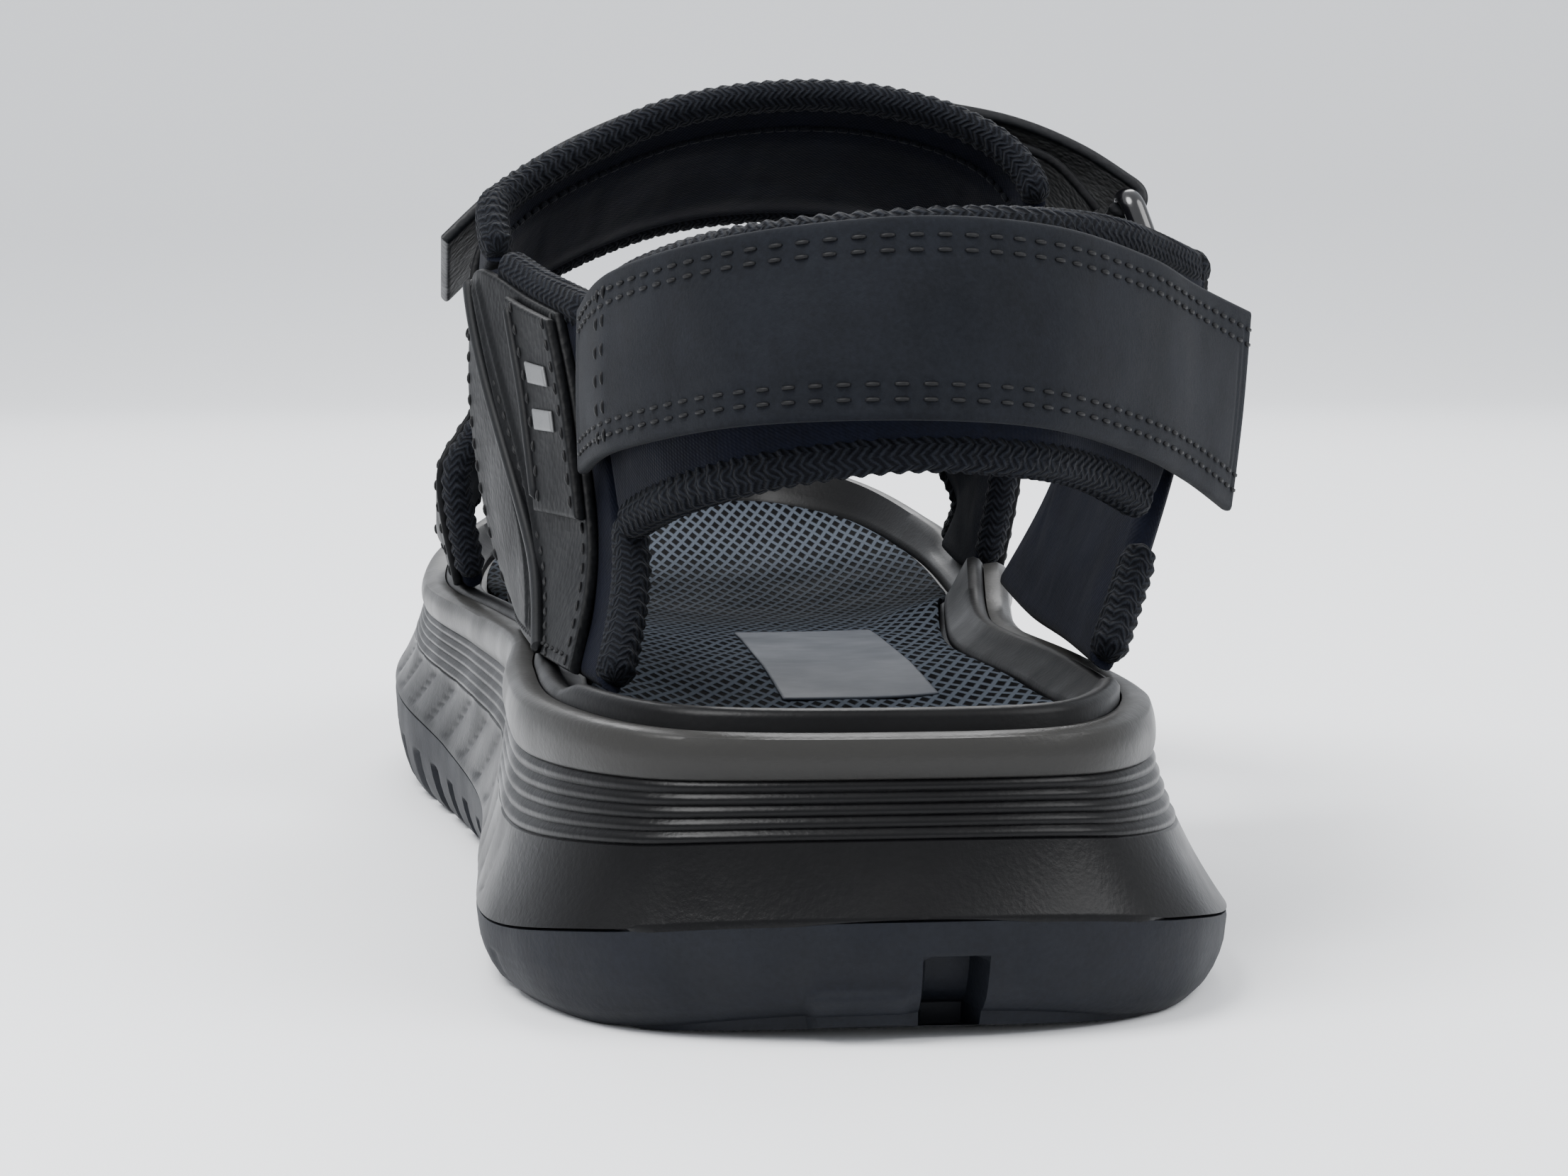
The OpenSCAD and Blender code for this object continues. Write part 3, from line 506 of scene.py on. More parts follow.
@dataclass(frozen=True)
class Finish:
    """One material of the sandal, with its colour and the scale of its surface."""

    name: str
    slot: str
    colour: tuple[float, float, float]
    grain: Grain
    rough: float = 0.6
    bump_mm: float = 0.1
    vary: float = 0.25
    sheen: float = 0.0
    coat: float = 0.0
    gloss: float = 0.5
    second: tuple[float, float, float] | None = None

    def _height(self, g: Graph, place: Socket, flat: Socket) -> Socket:
        """The relief of the grain.

        Args:
            g: the material's nodes.
            place: places in the piece's own space.
            flat: places along and up the sheet.
        Returns:
            A height from about 0 to 1.
        """
        across = g.node("ShaderNodeSeparateXYZ", {0: flat}).outputs
        if self.grain is Grain.KNIT:
            bend = g.math("MULTIPLY", g.zigzag(across["Y"], 2.6), 0.0024)
            rib = g.wave(g.math("ADD", across["X"], bend), 1.1)
            return g.math("ADD", g.math("MULTIPLY", rib, 0.4), g.noise(place, 0.5))
        if self.grain is Grain.WEBBING:
            return g.math("MULTIPLY", g.wave(across["X"], 1.5), g.wave(across["Y"], 1.3))
        if self.grain is Grain.JERSEY:
            ribs = g.math("MULTIPLY", g.wave(across["X"], 0.75), g.wave(across["Y"], 0.95))
            return g.math("ADD", g.math("MULTIPLY", ribs, 0.25), g.noise(place, 0.9))
        if self.grain is Grain.LEATHER:
            cells = g.node("ShaderNodeTexVoronoi", {"Vector": place, "Scale": 1000 / 1.1}).outputs["Distance"]
            return g.math("ADD", g.math("MULTIPLY", cells, 0.8), g.noise(place, 3.5))
        if self.grain is Grain.TAPE:
            return g.math("ADD", g.noise(place, 0.7, 1.0), g.noise(place, 2.4))
        if self.grain is Grain.NUBUCK:
            return g.math("ADD", g.noise(place, 0.45, 5.0, 0.7), g.math("MULTIPLY", g.noise(place, 6), 0.5))
        return g.noise(place, 0.8 if self.grain in (Grain.RUBBER, Grain.BAND) else 5.0)

    def _lozenge(self, g: Graph, place: Socket) -> Socket:
        """1 on the threads of an open mesh and 0 in its cells: two slanted families of lines."""
        at = g.node("ShaderNodeSeparateXYZ", {0: place}).outputs
        a = g.math("MULTIPLY", at["X"], 1000 / 2.4)
        b = g.math("MULTIPLY", at["Y"], 1000 / 6.6)
        lines = [g.math("PINGPONG", g.math(op, a, b), 0.5) for op in ("ADD", "SUBTRACT")]
        near = g.math("MINIMUM", *lines)
        mask = g.node("ShaderNodeMapRange", {0: near, 1: 0.15, 2: 0.25, 3: 1.0, 4: 0.0}, clamp=True)
        return mask.outputs[0]

    def build(self) -> Material:
        """Makes the material: mottled colour and roughness, and relief from the grain."""
        g = Graph(self.name)
        where = g.node("ShaderNodeTexCoord").outputs
        place = where["Object"]
        flat = g.node("ShaderNodeUVMap", uv_map="UVMap").outputs["UV"]
        height = self._lozenge(g, place) if self.grain is Grain.LOZENGE else self._height(g, place, flat)
        dark = (*[c * (1 - self.vary) for c in self.colour], 1)
        light = (*[min(1, c * (1 + self.vary)) for c in self.colour], 1)
        mottle = g.math("MULTIPLY", g.math("ADD", g.noise(place, 9.0), g.noise(place, 0.6, 2.0)), 0.5)
        spread = g.node("ShaderNodeMapRange", {0: mottle, 1: 0.36, 2: 0.64}, clamp=True).outputs[0]
        colour = g.node("ShaderNodeMix", {0: spread, 6: dark, 7: light}, data_type="RGBA").outputs[2]
        if self.second is not None:
            if self.grain is Grain.LOZENGE:
                amount = height
            elif self.grain is Grain.BAND:
                up = g.node("ShaderNodeSeparateXYZ", {0: flat}).outputs["Y"]
                amount = g.node("ShaderNodeMapRange", {0: up, 1: 0.735, 2: 0.75}, clamp=True).outputs[0]
            else:
                amount = g.node("ShaderNodeMapRange", {0: height, 1: 0.35, 2: 0.9}, clamp=True).outputs[0]
            colour = g.node("ShaderNodeMix", {0: amount, 6: colour, 7: (*self.second, 1)},
                            data_type="RGBA").outputs[2]
        g.tree.links.new(colour, g.shader.inputs["Base Color"])
        rough = g.node("ShaderNodeMapRange", {0: g.noise(place, 14.0), 1: 0.3, 2: 0.7,
                                              3: self.rough - 0.07, 4: min(1, self.rough + 0.07)}).outputs[0]
        g.tree.links.new(rough, g.shader.inputs["Roughness"])
        bump = g.node("ShaderNodeBump", {"Strength": 0.8, "Distance": self.bump_mm * MM, "Height": height})
        g.tree.links.new(bump.outputs[0], g.shader.inputs["Normal"])
        g.shader.inputs["Sheen Weight"].default_value = self.sheen
        g.shader.inputs["Sheen Roughness"].default_value = 0.45
        g.shader.inputs["Coat Weight"].default_value = self.coat
        g.shader.inputs["Specular IOR Level"].default_value = self.gloss
        return g.material


FINISHES = {f.name: f for f in (
    Finish("outsole_rubber", "outsole_rubber", (0.004, 0.005, 0.008), Grain.RUBBER, 0.6, 0.07, gloss=0.18),
    Finish("midsole_foam", "midsole_foam", (0.0018, 0.0018, 0.0022), Grain.BAND, 0.36, 0.06, 0.2, gloss=0.15,
           second=(0.022, 0.0216, 0.0206)),
    Finish("footbed_foam", "footbed_foam", (0.0018, 0.0018, 0.0022), Grain.RUBBER, 0.42, 0.05, 0.2,
           gloss=0.13),
    Finish("inlay_mesh", "inlay_mesh", (0.0008, 0.0008, 0.0012), Grain.LOZENGE, 0.85, 0.7, 0.3, gloss=0.03,
           second=(0.045, 0.053, 0.066)),
    Finish("label_film", "label_film", (0.032, 0.037, 0.047), Grain.SMOOTH, 0.42, 0.05, 0.1, gloss=0.2),
    Finish("neoprene", "neoprene", (0.0018, 0.0026, 0.0065), Grain.JERSEY, 0.8, 0.12, 0.3, sheen=0.015,
           gloss=0.07),
    Finish("leather", "leather", (0.003, 0.0033, 0.004), Grain.LEATHER, 0.55, 0.14, 0.25, gloss=0.1),
    Finish("strap_nubuck", "strap_leather", (0.0062, 0.0072, 0.0098), Grain.NUBUCK, 0.8, 0.12, 0.25,
           sheen=0.02, gloss=0.1),
    Finish("strap_smooth", "strap_leather", (0.0042, 0.0047, 0.006), Grain.LEATHER, 0.48, 0.1, 0.25,
           gloss=0.2),
    Finish("welt_rubber", "welt", (0.0055, 0.006, 0.007), Grain.RUBBER, 0.5, 0.04, 0.2, gloss=0.14),
    Finish("knit", "knit_binding", (0.002, 0.0024, 0.004), Grain.KNIT, 0.75, 0.3, 0.35, sheen=0.02,
           gloss=0.08, second=(0.009, 0.0105, 0.0145)),
    # Thread colour: partly the thread's own dark colour, partly painted shade, darkened to stand in for the
    # shadow along the stitch rows.
    Finish("thread", "knit_binding", (0.0016, 0.0018, 0.0026), Grain.NUBUCK, 0.55, 0.05, 0.3, gloss=0.22),
    Finish("hook_tape", "hook_tape", (0.003, 0.003, 0.004), Grain.TAPE, 0.7, 0.5, 0.3, gloss=0.2,
           second=(0.01, 0.01, 0.012)),
    Finish("loop_tape", "loop_tape", (0.004, 0.005, 0.008), Grain.TAPE, 0.85, 0.6, 0.3, sheen=0.06, gloss=0.1,
           second=(0.01, 0.012, 0.017)),
    Finish("webbing", "webbing", (0.006, 0.007, 0.01), Grain.WEBBING, 0.7, 0.25, 0.3, sheen=0.03, gloss=0.15),
    Finish("ring_plastic", "ring_plastic", (0.004, 0.004, 0.005), Grain.SMOOTH, 0.22, 0.03, 0.1, coat=0.3,
           gloss=0.5),
    Finish("pale_mark", "label_film", (0.1, 0.103, 0.106), Grain.RUBBER, 0.45, 0.04, 0.08, gloss=0.3),
)}


class Workshop:
    """Keeps the materials, and puts each finished piece on its body."""

    def __init__(self) -> None:
        """Makes every material once."""
        self.materials = {name: finish.build() for name, finish in FINISHES.items()}

    def fit(self, piece: Object, finish: str, *nodes: str, body: str = "sandal",
            pad: float | None = None) -> Object:
        """Rides a piece on its body in place of CAD nodes.

        Args:
            piece: the finished piece.
            finish: the name of its finish; not used.
            nodes: the CAD nodes that it stands for.
            body: the body that it moves with.
            pad: how full it is, where it is a padded piece; not used.
        Returns:
            The same piece.
        """
        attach(piece, body)
        if nodes:
            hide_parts(*nodes)
        log.info("%s on %s, %d faces", piece.name, body, len(piece.data.polygons))
        return piece

    def dress(self, node: str, finish: str) -> None:
        """Gives a CAD node that stays a finish of its own."""
        piece = frame["nodes"][node]
        piece.data.materials.clear()
        piece.data.materials.append(self.materials[finish])


# ---------------------------------------------------------------- sole
def table(text: str) -> Array:
    """Rows of numbers from a short list, one row after each semicolon."""
    return np.array([[float(n) for n in row.split()] for row in text.split(";")])


@dataclass
class Sole:
    """The moulded sole: outsole, midsole, and a footbed with a mesh inlay. Millimetres."""

    shop: Workshop
    around: int = 560
    across: int = 72
    lip_w: float = 3.0
    rim_w: float = 6.5
    ply_gap: float = 0.25
    groove_d: float = 2.4
    tread_pitch: float = 21.0
    chevron_deg: float = 18.0
    notch_pitch: float = 14.5
    notch_d: float = 1.5
    split_x: float = 7.0
    split_d: float = 5.0
    lug_d: float = 1.2
    rib_pitch: float = 15.0
    rib_d: float = 0.75
    arch_h: float = 6.0
    inlay_t: float = 1.3
    tray_d: float = 4.8
    end_rise: float = 1.5
    lip: Array = field(default_factory=lambda: table(
        "-136 -25 25; -112 -39 36; -75 -41.5 36.5; -35 -40 34; 5 -45 38; 50 -52 46; 92 -50 46; 124 -37 38;"
        " 142 -19 23"))
    lip_ends: Array = field(default_factory=lambda: table("3 -141; 6 147"))
    base: Array = field(default_factory=lambda: table(
        "-140 -30 32; -114 -45 46; -75 -46 46.5; -35 -45 42; 5 -50 43; 50 -57.5 51; 92 -56 51.5; 126 -43 43;"
        "146 -22 26"))
    base_ends: Array = field(default_factory=lambda: table("3 -148; 6 152"))
    ground: Array = field(default_factory=lambda: table(
        "-150 3.6; -142 1.2; -132 0; 40 0; 70 1.2; 100 5; 130 12; 152 19"))
    edge: Array = field(default_factory=lambda: table(
        "-150 15; -138 12.5; -112 9; -60 9.5; 0 13; 50 16; 100 20; 152 31"))
    rim: Array = field(default_factory=lambda: table(
        "-150 35; -110 35.5; -60 35.5; -20 35; 30 34.5; 60 34.5; 100 38; 130 43.5; 152 49"))
    bed: Array = field(default_factory=lambda: table(
        "-150 34; -125 30.8; -90 30; -50 31.5; -20 31.5; 20 30; 55 28.8; 90 31.5; 120 37.5; 152 46"))
    half_bed: Array = field(default_factory=lambda: table(
        "-150 26; -125 27; -90 31; -40 30; 20 36; 60 40; 100 38; 152 30"))

    def ring(self, rows: Array, ends: Array) -> Array:
        """A closed outline through the stations: heel, inner side, toe, outer side."""
        inner, outer = rows[:, [2, 0]], rows[::-1, [1, 0]]
        points = np.concatenate([ends[:1], inner, ends[1:], outer])
        return weights(len(points), np.arange(self.around) * len(points) / self.around, closed=True) @ points

    @staticmethod
    def outward(ring: Array) -> Array:
        """Unit vectors out of a closed outline: its tangent turned by a quarter to the right."""
        d = np.roll(ring, -1, 0) - np.roll(ring, 1, 0)
        return unit(np.stack([d[:, 1], -d[:, 0]], 1))

    def inset(self, ring: Array, distance: float) -> Array:
        """An outline moved inwards."""
        return ring - self.outward(ring) * distance

    @staticmethod
    def height(stations: Array, y: Array) -> Array:
        """Cubic Hermite height, with slopes from the neighbouring stations and level where two are equal.

        Args:
            stations: rows of y and height.
            y: places along the foot.
        Returns:
            The height at each place.
        """
        ys, zs = stations[:, 0], stations[:, 1]
        y = np.clip(y, ys[0], ys[-1])
        low, high = np.maximum(np.arange(len(ys)) - 1, 0), np.minimum(np.arange(len(ys)) + 1, len(ys) - 1)
        grade = (zs[high] - zs[low]) / (ys[high] - ys[low])
        level = np.abs(zs - zs[low]) < 0.001
        start = np.where(level, 0, grade)
        i = np.clip(np.searchsorted(ys, y, side="right") - 1, 0, len(ys) - 2)
        d = ys[i + 1] - ys[i]
        s = (y - ys[i]) / d
        bent = ((1 + 2 * s) * (1 - s) ** 2 * zs[i] + s * (1 - s) ** 2 * d * start[i]
                + s * s * (3 - 2 * s) * zs[i + 1] + s * s * (s - 1) * d * grade[i + 1])
        return np.where(np.abs(zs[i + 1] - zs[i]) < 0.001, zs[i], bent)

    def arch(self, x: Array, y: Array) -> Array:
        """The arch support: a bell along the foot, on the inner side only."""
        return self.arch_h * np.clip((x - 18) / 16, 0, 1) * np.exp(-((y - 10) / 18) ** 2)

    def lip_z(self, x: Array, y: Array) -> Array:
        """Height of the lip."""
        return self.height(self.rim, y) + self.arch(x, y)

    def bed_z(self, x: Array, y: Array) -> Array:
        """Height of the footbed: a trough that rises with the third power towards its sides."""
        rise = np.maximum(self.height(self.rim, y) - 1.2 - self.height(self.bed, y), 0)
        side = np.minimum(1, np.abs(x) / np.interp(y, self.half_bed[:, 0], self.half_bed[:, 1]))
        return self.height(self.bed, y) + rise * side**3 + 0.7 * self.arch(x, y)

    def body(self, name: str, rings: list[Array], low: Field, high: Field, finish: str, *nodes: str,
             sharp: float = 42, up: Array | None = None) -> Object:
        """A closed solid of stacked outlines, spanned by a cap below and one above.

        Args:
            name: the piece's name.
            rings: the outlines, from the lowest to the highest.
            low: height of the lower cap at x and y.
            high: height of the upper cap at x and y.
            finish: the name of the finish.
            nodes: the CAD nodes that it stands for.
            sharp: edges turning by more than this many degrees are kept crisp.
            up: for each outline, a number that the finish may read as its height.
        Returns:
            The new piece.
        """
        stack = np.stack(rings)
        layers, n = stack.shape[:2]
        wrapped = np.concatenate([stack, stack[:, :1]], 1)
        half = n // 2
        j = np.linspace(0, 1, self.across + 1)[None, :, None]
        points, faces = [wrapped.reshape(-1, 3)], [quads(layers, n + 1)]
        for ring, height_at, flip in ((stack[0], low, False), (stack[-1], high, True)):
            a, b = ring[: half + 1][:, None], ring[-np.arange(half + 1)][:, None]
            cap = a + (b - a) * j
            z = height_at(cap[..., 0], cap[..., 1])
            cap[:, 1:-1, 2] = z[:, 1:-1]
            start = sum(len(p) for p in points)
            points.append(cap.reshape(-1, 3))
            faces.append(quads(half + 1, self.across + 1, start, flip))
        every = np.concatenate(points)
        flat = np.zeros((len(every), 2))
        if up is not None:
            flat[: layers * (n + 1), 1] = np.repeat(up, n + 1)
        piece = make_mesh(name, every, np.concatenate(faces), self.shop.materials[finish], flat, merge=True,
                          sharp=sharp)
        return self.shop.fit(piece, finish, *nodes)

    def wall(self, s: float, bulge: Array | float = 0.0) -> Array:
        """One outline of the slanted wall, from the lip at s = 0 to the widest line at s = 1."""
        lip, base = self.ring(self.lip, self.lip_ends), self.ring(self.base, self.base_ends)
        flat = lip + (base - lip) * s**1.8
        flat = flat + self.outward(flat) * (bulge if np.ndim(bulge) == 0 else bulge[:, None])
        top, bottom = self.lip_z(*lip.T), self.height(self.edge, base[:, 1])
        return np.column_stack([flat, top + (bottom - top) * s])

    def sculpt(self, s: float) -> Array:
        """Relief of the wall at s: a plump lip band, fine level ridges, and slanted ribs on both flanks."""
        base = self.ring(self.base, self.base_ends)
        run = arc_lengths(base, 0)
        band = 0.9 * math.sin(math.pi * min(s / 0.25, 1)) ** 0.7 if s < 0.25 else 0.0
        ridges = 0.42 * abs(math.sin(math.pi * (s - 0.26) / 0.066)) - 0.3 if 0.26 < s < 0.59 else 0.0
        flank = step_up(-base[:, 0], 20, 36) * step_up(base[:, 1], -112, -96) * step_up(-base[:, 1], -118,
                -96)
        inner = step_up(base[:, 0], 20, 34) * step_up(base[:, 1], -60, -40) * step_up(-base[:, 1], -118, -96)
        low = step_up(np.array(s), 0.56, 0.64) * step_up(np.array(-s), -0.99, -0.93)
        ribs = self.rib_d * (np.abs(np.sin(math.pi * (run / self.rib_pitch + 1.6 * s))) ** 0.5 - 1)
        return band + ridges + (flank + inner) * low * ribs

    def midsole(self) -> None:
        """The foam wall, with its lip, ridges and flank ribs, and the shelf that the footbed lies on."""
        lip = self.ring(self.lip, self.lip_ends)
        shelf = self.inset(lip, self.lip_w)
        floor = self.inset(lip, self.lip_w + 0.4)
        steps = np.concatenate([np.linspace(1, 0.62, 24), np.linspace(0.61, 0.24, 52), np.linspace(0.22,
                0.03, 12)])
        rings = [self.wall(s, self.sculpt(s)) for s in steps]
        for inward in (0.0, 0.9):
            rings.append(self.wall(0) - np.append(self.outward(lip) * inward, np.zeros((len(lip), 1)), 1))
        rings[-2][:, 2] -= 0.45
        rings.append(np.column_stack([shelf, self.lip_z(*lip.T) - 0.3]))
        under = np.minimum(self.bed_z(*floor.T), self.lip_z(*floor.T)) - 5
        rings.append(np.column_stack([floor, under]))
        heights = 1 - np.append(steps, [0] * 4)
        self.body("midsole_wall", rings, lambda x, y: self.under_z(x, y) + 0.2,
                  lambda x, y: self.bed_z(x, y) - 5, "midsole_foam", "midsole", up=heights)

    def under_z(self, x: Array, y: Array) -> Array:
        """Where outsole and midsole meet: the widest line at the outline, a level above the ground inside."""
        rows = self.base
        side = np.minimum(x - np.interp(y, rows[:, 0], rows[:, 1]), np.interp(y, rows[:, 0], rows[:, 2]) - x)
        reach = np.minimum(y - self.base_ends[0, 1], self.base_ends[1, 1] - y)
        share = np.clip(np.minimum(reach / 14, side / 7), 0, 1)
        edge, level = self.height(self.edge, y) - 0.2, self.height(self.ground, y) + 5
        return edge + (level - edge) * share

    def tread(self, x: Array, y: Array) -> Array:
        """Depth of the tread at x, y: rows of chevrons, and a groove along each side."""
        slant = (y - (np.abs(x) - 17) * math.tan(math.radians(self.chevron_deg))) / self.tread_pitch
        from_row = np.abs(slant - 0.5 - np.round(slant - 0.5)) * self.tread_pitch
        rows = step_up(-from_row, -2.6, -1.6) * step_up(np.abs(x), 2, 4) * step_up(-np.abs(x), -33, -31)
        sides = step_up(-np.abs(np.abs(x) - 24), -2.6, -1.6) * step_up(y, -119, -117) * step_up(-y, -34, -32)
        return self.groove_d * np.maximum(rows * step_up(-np.abs(y), -140, -132), 0.7 * sides)

    def outsole(self) -> None:
        """The rubber outsole: a grooved tread, notched sides and a split at the heel."""
        base = self.ring(self.base, self.base_ends)
        run = arc_lengths(base, 0)
        edge, ground = self.height(self.edge, base[:, 1]), self.height(self.ground, base[:, 1])
        notch = step_up(np.cos(TAU * run / self.notch_pitch), 0.55, 0.85) * step_up(base[:, 1], -118, -104)
        rear = step_up(-base[:, 1], 120, 130)
        rings = []
        profile = table("0 4.2; 0.04 3.4; 0.16 2.1; 0.3 1.3; 0.45 0.7; 0.6 0.3; 0.9 0; 0.985 0.1; 1 0.7")
        for s in np.concatenate([[0, 0.02, 0.04, 0.08], np.linspace(0.12, 0.72, 21), [0.9, 0.985, 1]]):
            inset = np.interp(s, *profile.T)
            low = 1 - step_up(np.array(s), 0.56, 0.64)
            split = rear * step_up(-np.abs(base[:, 0] - self.split_x), -4, -2.8) * low
            lug = rear * step_up(-np.abs(base[:, 0] + 4), -6.5, -5) * (1 - step_up(np.array(s), 0.2, 0.34))
            carve = (self.notch_d * notch * low + self.split_d * split - self.lug_d * lug)[:, None]
            flat = base - self.outward(base) * (inset + carve)
            rings.append(np.column_stack([flat, ground + (edge - 0.2 - ground) * s]))
        self.body("outsole_tread", rings, lambda x, y: self.height(self.ground, y) + self.tread(x, y),
                  self.under_z, "outsole_rubber", "outsole", sharp=35)

    def footbed(self) -> None:
        """The footbed's moulded frame: a round rim, a slope down to the inlay, and a groove beside it."""
        lip = self.ring(self.lip, self.lip_ends)
        start = self.lip_w + self.ply_gap
        profile = ((0, -4.8, 1), (0, 0.4, 0), (0.5, 1.1, 0), (1.4, 1.45, 0), (2.4, 1.2, 0), (3.4, 0.3, 0.25),
                   (4.6, 0.15, 0.75), (5.4, 0.1, 1), (5.8, -0.2, 1), (6.0, -1.3, 1), (7.2, -1.4, 1))
        rings = []
        proud = self.end_rise * (step_up(-lip[:, 1], 106, 116) + step_up(lip[:, 1], 82, 94))
        for inset, lift, share in profile:
            flat = self.inset(lip, start + inset)
            rim = self.lip_z(*lip.T) - 0.6 + (proud if 0 < inset + lift < 5 else 0)
            rings.append(np.column_stack([flat, rim + (self.bed_z(*flat.T) - rim) * share + lift]))
        self.body("footbed_tray", rings, lambda x, y: self.bed_z(x, y) - self.tray_d,
                  lambda x, y: self.bed_z(x, y) - 1.4,
                  "footbed_foam", "footbed_frame")

    def inlay(self) -> None:
        """The mesh inlay, slightly quilted, and the blank label that is pressed on it."""
        lip = self.ring(self.lip, self.lip_ends)
        rings = [np.column_stack([flat, self.bed_z(*flat.T) + lift]) for flat, lift in
                 ((self.inset(lip, self.lip_w + self.rim_w + d), z)
                  for d, z in ((0.7, -1.3), (0.7, -0.35), (1.1, -0.05), (2, 0.1)))]

        def quilted(x: Array, y: Array) -> Array:
            """The inlay's top: two crossed sines on the footbed."""
            return self.bed_z(x, y) + 0.1 + 0.12 * np.sin(x / 2.1) * np.sin(y / 3.3)

        self.body("footbed_mesh", rings, lambda x, y: self.bed_z(x, y) - self.inlay_t,
                  quilted, "inlay_mesh", "footbed_inlay")
        x, y = np.meshgrid(np.linspace(15.5, -5.5, 9), np.linspace(-77, -5, 25))
        net = np.stack([x, y, self.bed_z(x, y)], -1).transpose(1, 0, 2)
        label = Slab(Surface(net), 0.05, 0.5, round_mm=0.3, count=(60, 24))
        self.shop.fit(label.build("footbed_blank_label", self.shop.materials["label_film"]), "label_film",
                      "footbed_label")

    def build(self) -> None:
        """Makes the sole's pieces from the ground up."""
        self.outsole()
        self.midsole()
        self.footbed()
        self.inlay()


# ---------------------------------------------------------------- upper
def rim_net(sole: Sole, rows: list[str]) -> Array:
    """A net from rows of points; a point given as x and y only stands just above the sole's rim."""
    seat = 0.9
    out: list[list] = []
    for row in rows:
        points = [[float(n) for n in p.split()] for p in row.split(";")]
        out.append([p if len(p) == 3 else [*p, float(sole.lip_z(*np.array(p))) + seat] for p in points])
    return np.array(out)


@dataclass
class Slope:
    """A frame that leans down towards the toe, in which a strap's cross-section is drawn."""

    y: float
    z: float
    degrees: float

    def place(self, x: Array, along: Array, up: Array) -> Array:
        """Points from x, the distance along the slope and the height above it."""
        c, s = math.cos(math.radians(self.degrees)), math.sin(math.radians(self.degrees))
        x, along, up = np.broadcast_arrays(x, along, up)
        return np.stack([x, self.y + along * c + up * s, self.z + up * c - along * s], -1)

    def local(self, point: Array) -> Array:
        """x, distance along the slope and height above it of a point, in millimetres."""
        c, s = math.cos(math.radians(self.degrees)), math.sin(math.radians(self.degrees))
        y, z = point[1] - self.y, point[2] - self.z
        return np.array([point[0], y * c - z * s, y * s + z * c])

    def ribbon(self, path: Array, start: float, width: float) -> Surface:
        """A strap's outer face: a path in the cross-section, carried along the slope."""
        rows = [self.place(path[:, 0], np.full(len(path), along), path[:, 1]) for along in (start,
                start + width)]
        return Surface(np.stack(rows), flat_rows=True)


def arc(centre: Array, radius: float, start: float, stop: float, steps: int = 14) -> Array:
    """Points on a circle from one angle to another, in degrees."""
    a = np.radians(np.linspace(start, stop, steps))
    return centre + radius * np.stack([np.cos(a), np.sin(a)], 1)


class Edge(Enum):
    """An edge of a surface: whether it runs along u, and which end of the other direction it is."""

    TOP = (True, 1.0)
    BOTTOM = (True, 0.0)
    FRONT = (False, 0.0)
    REAR = (False, 1.0)


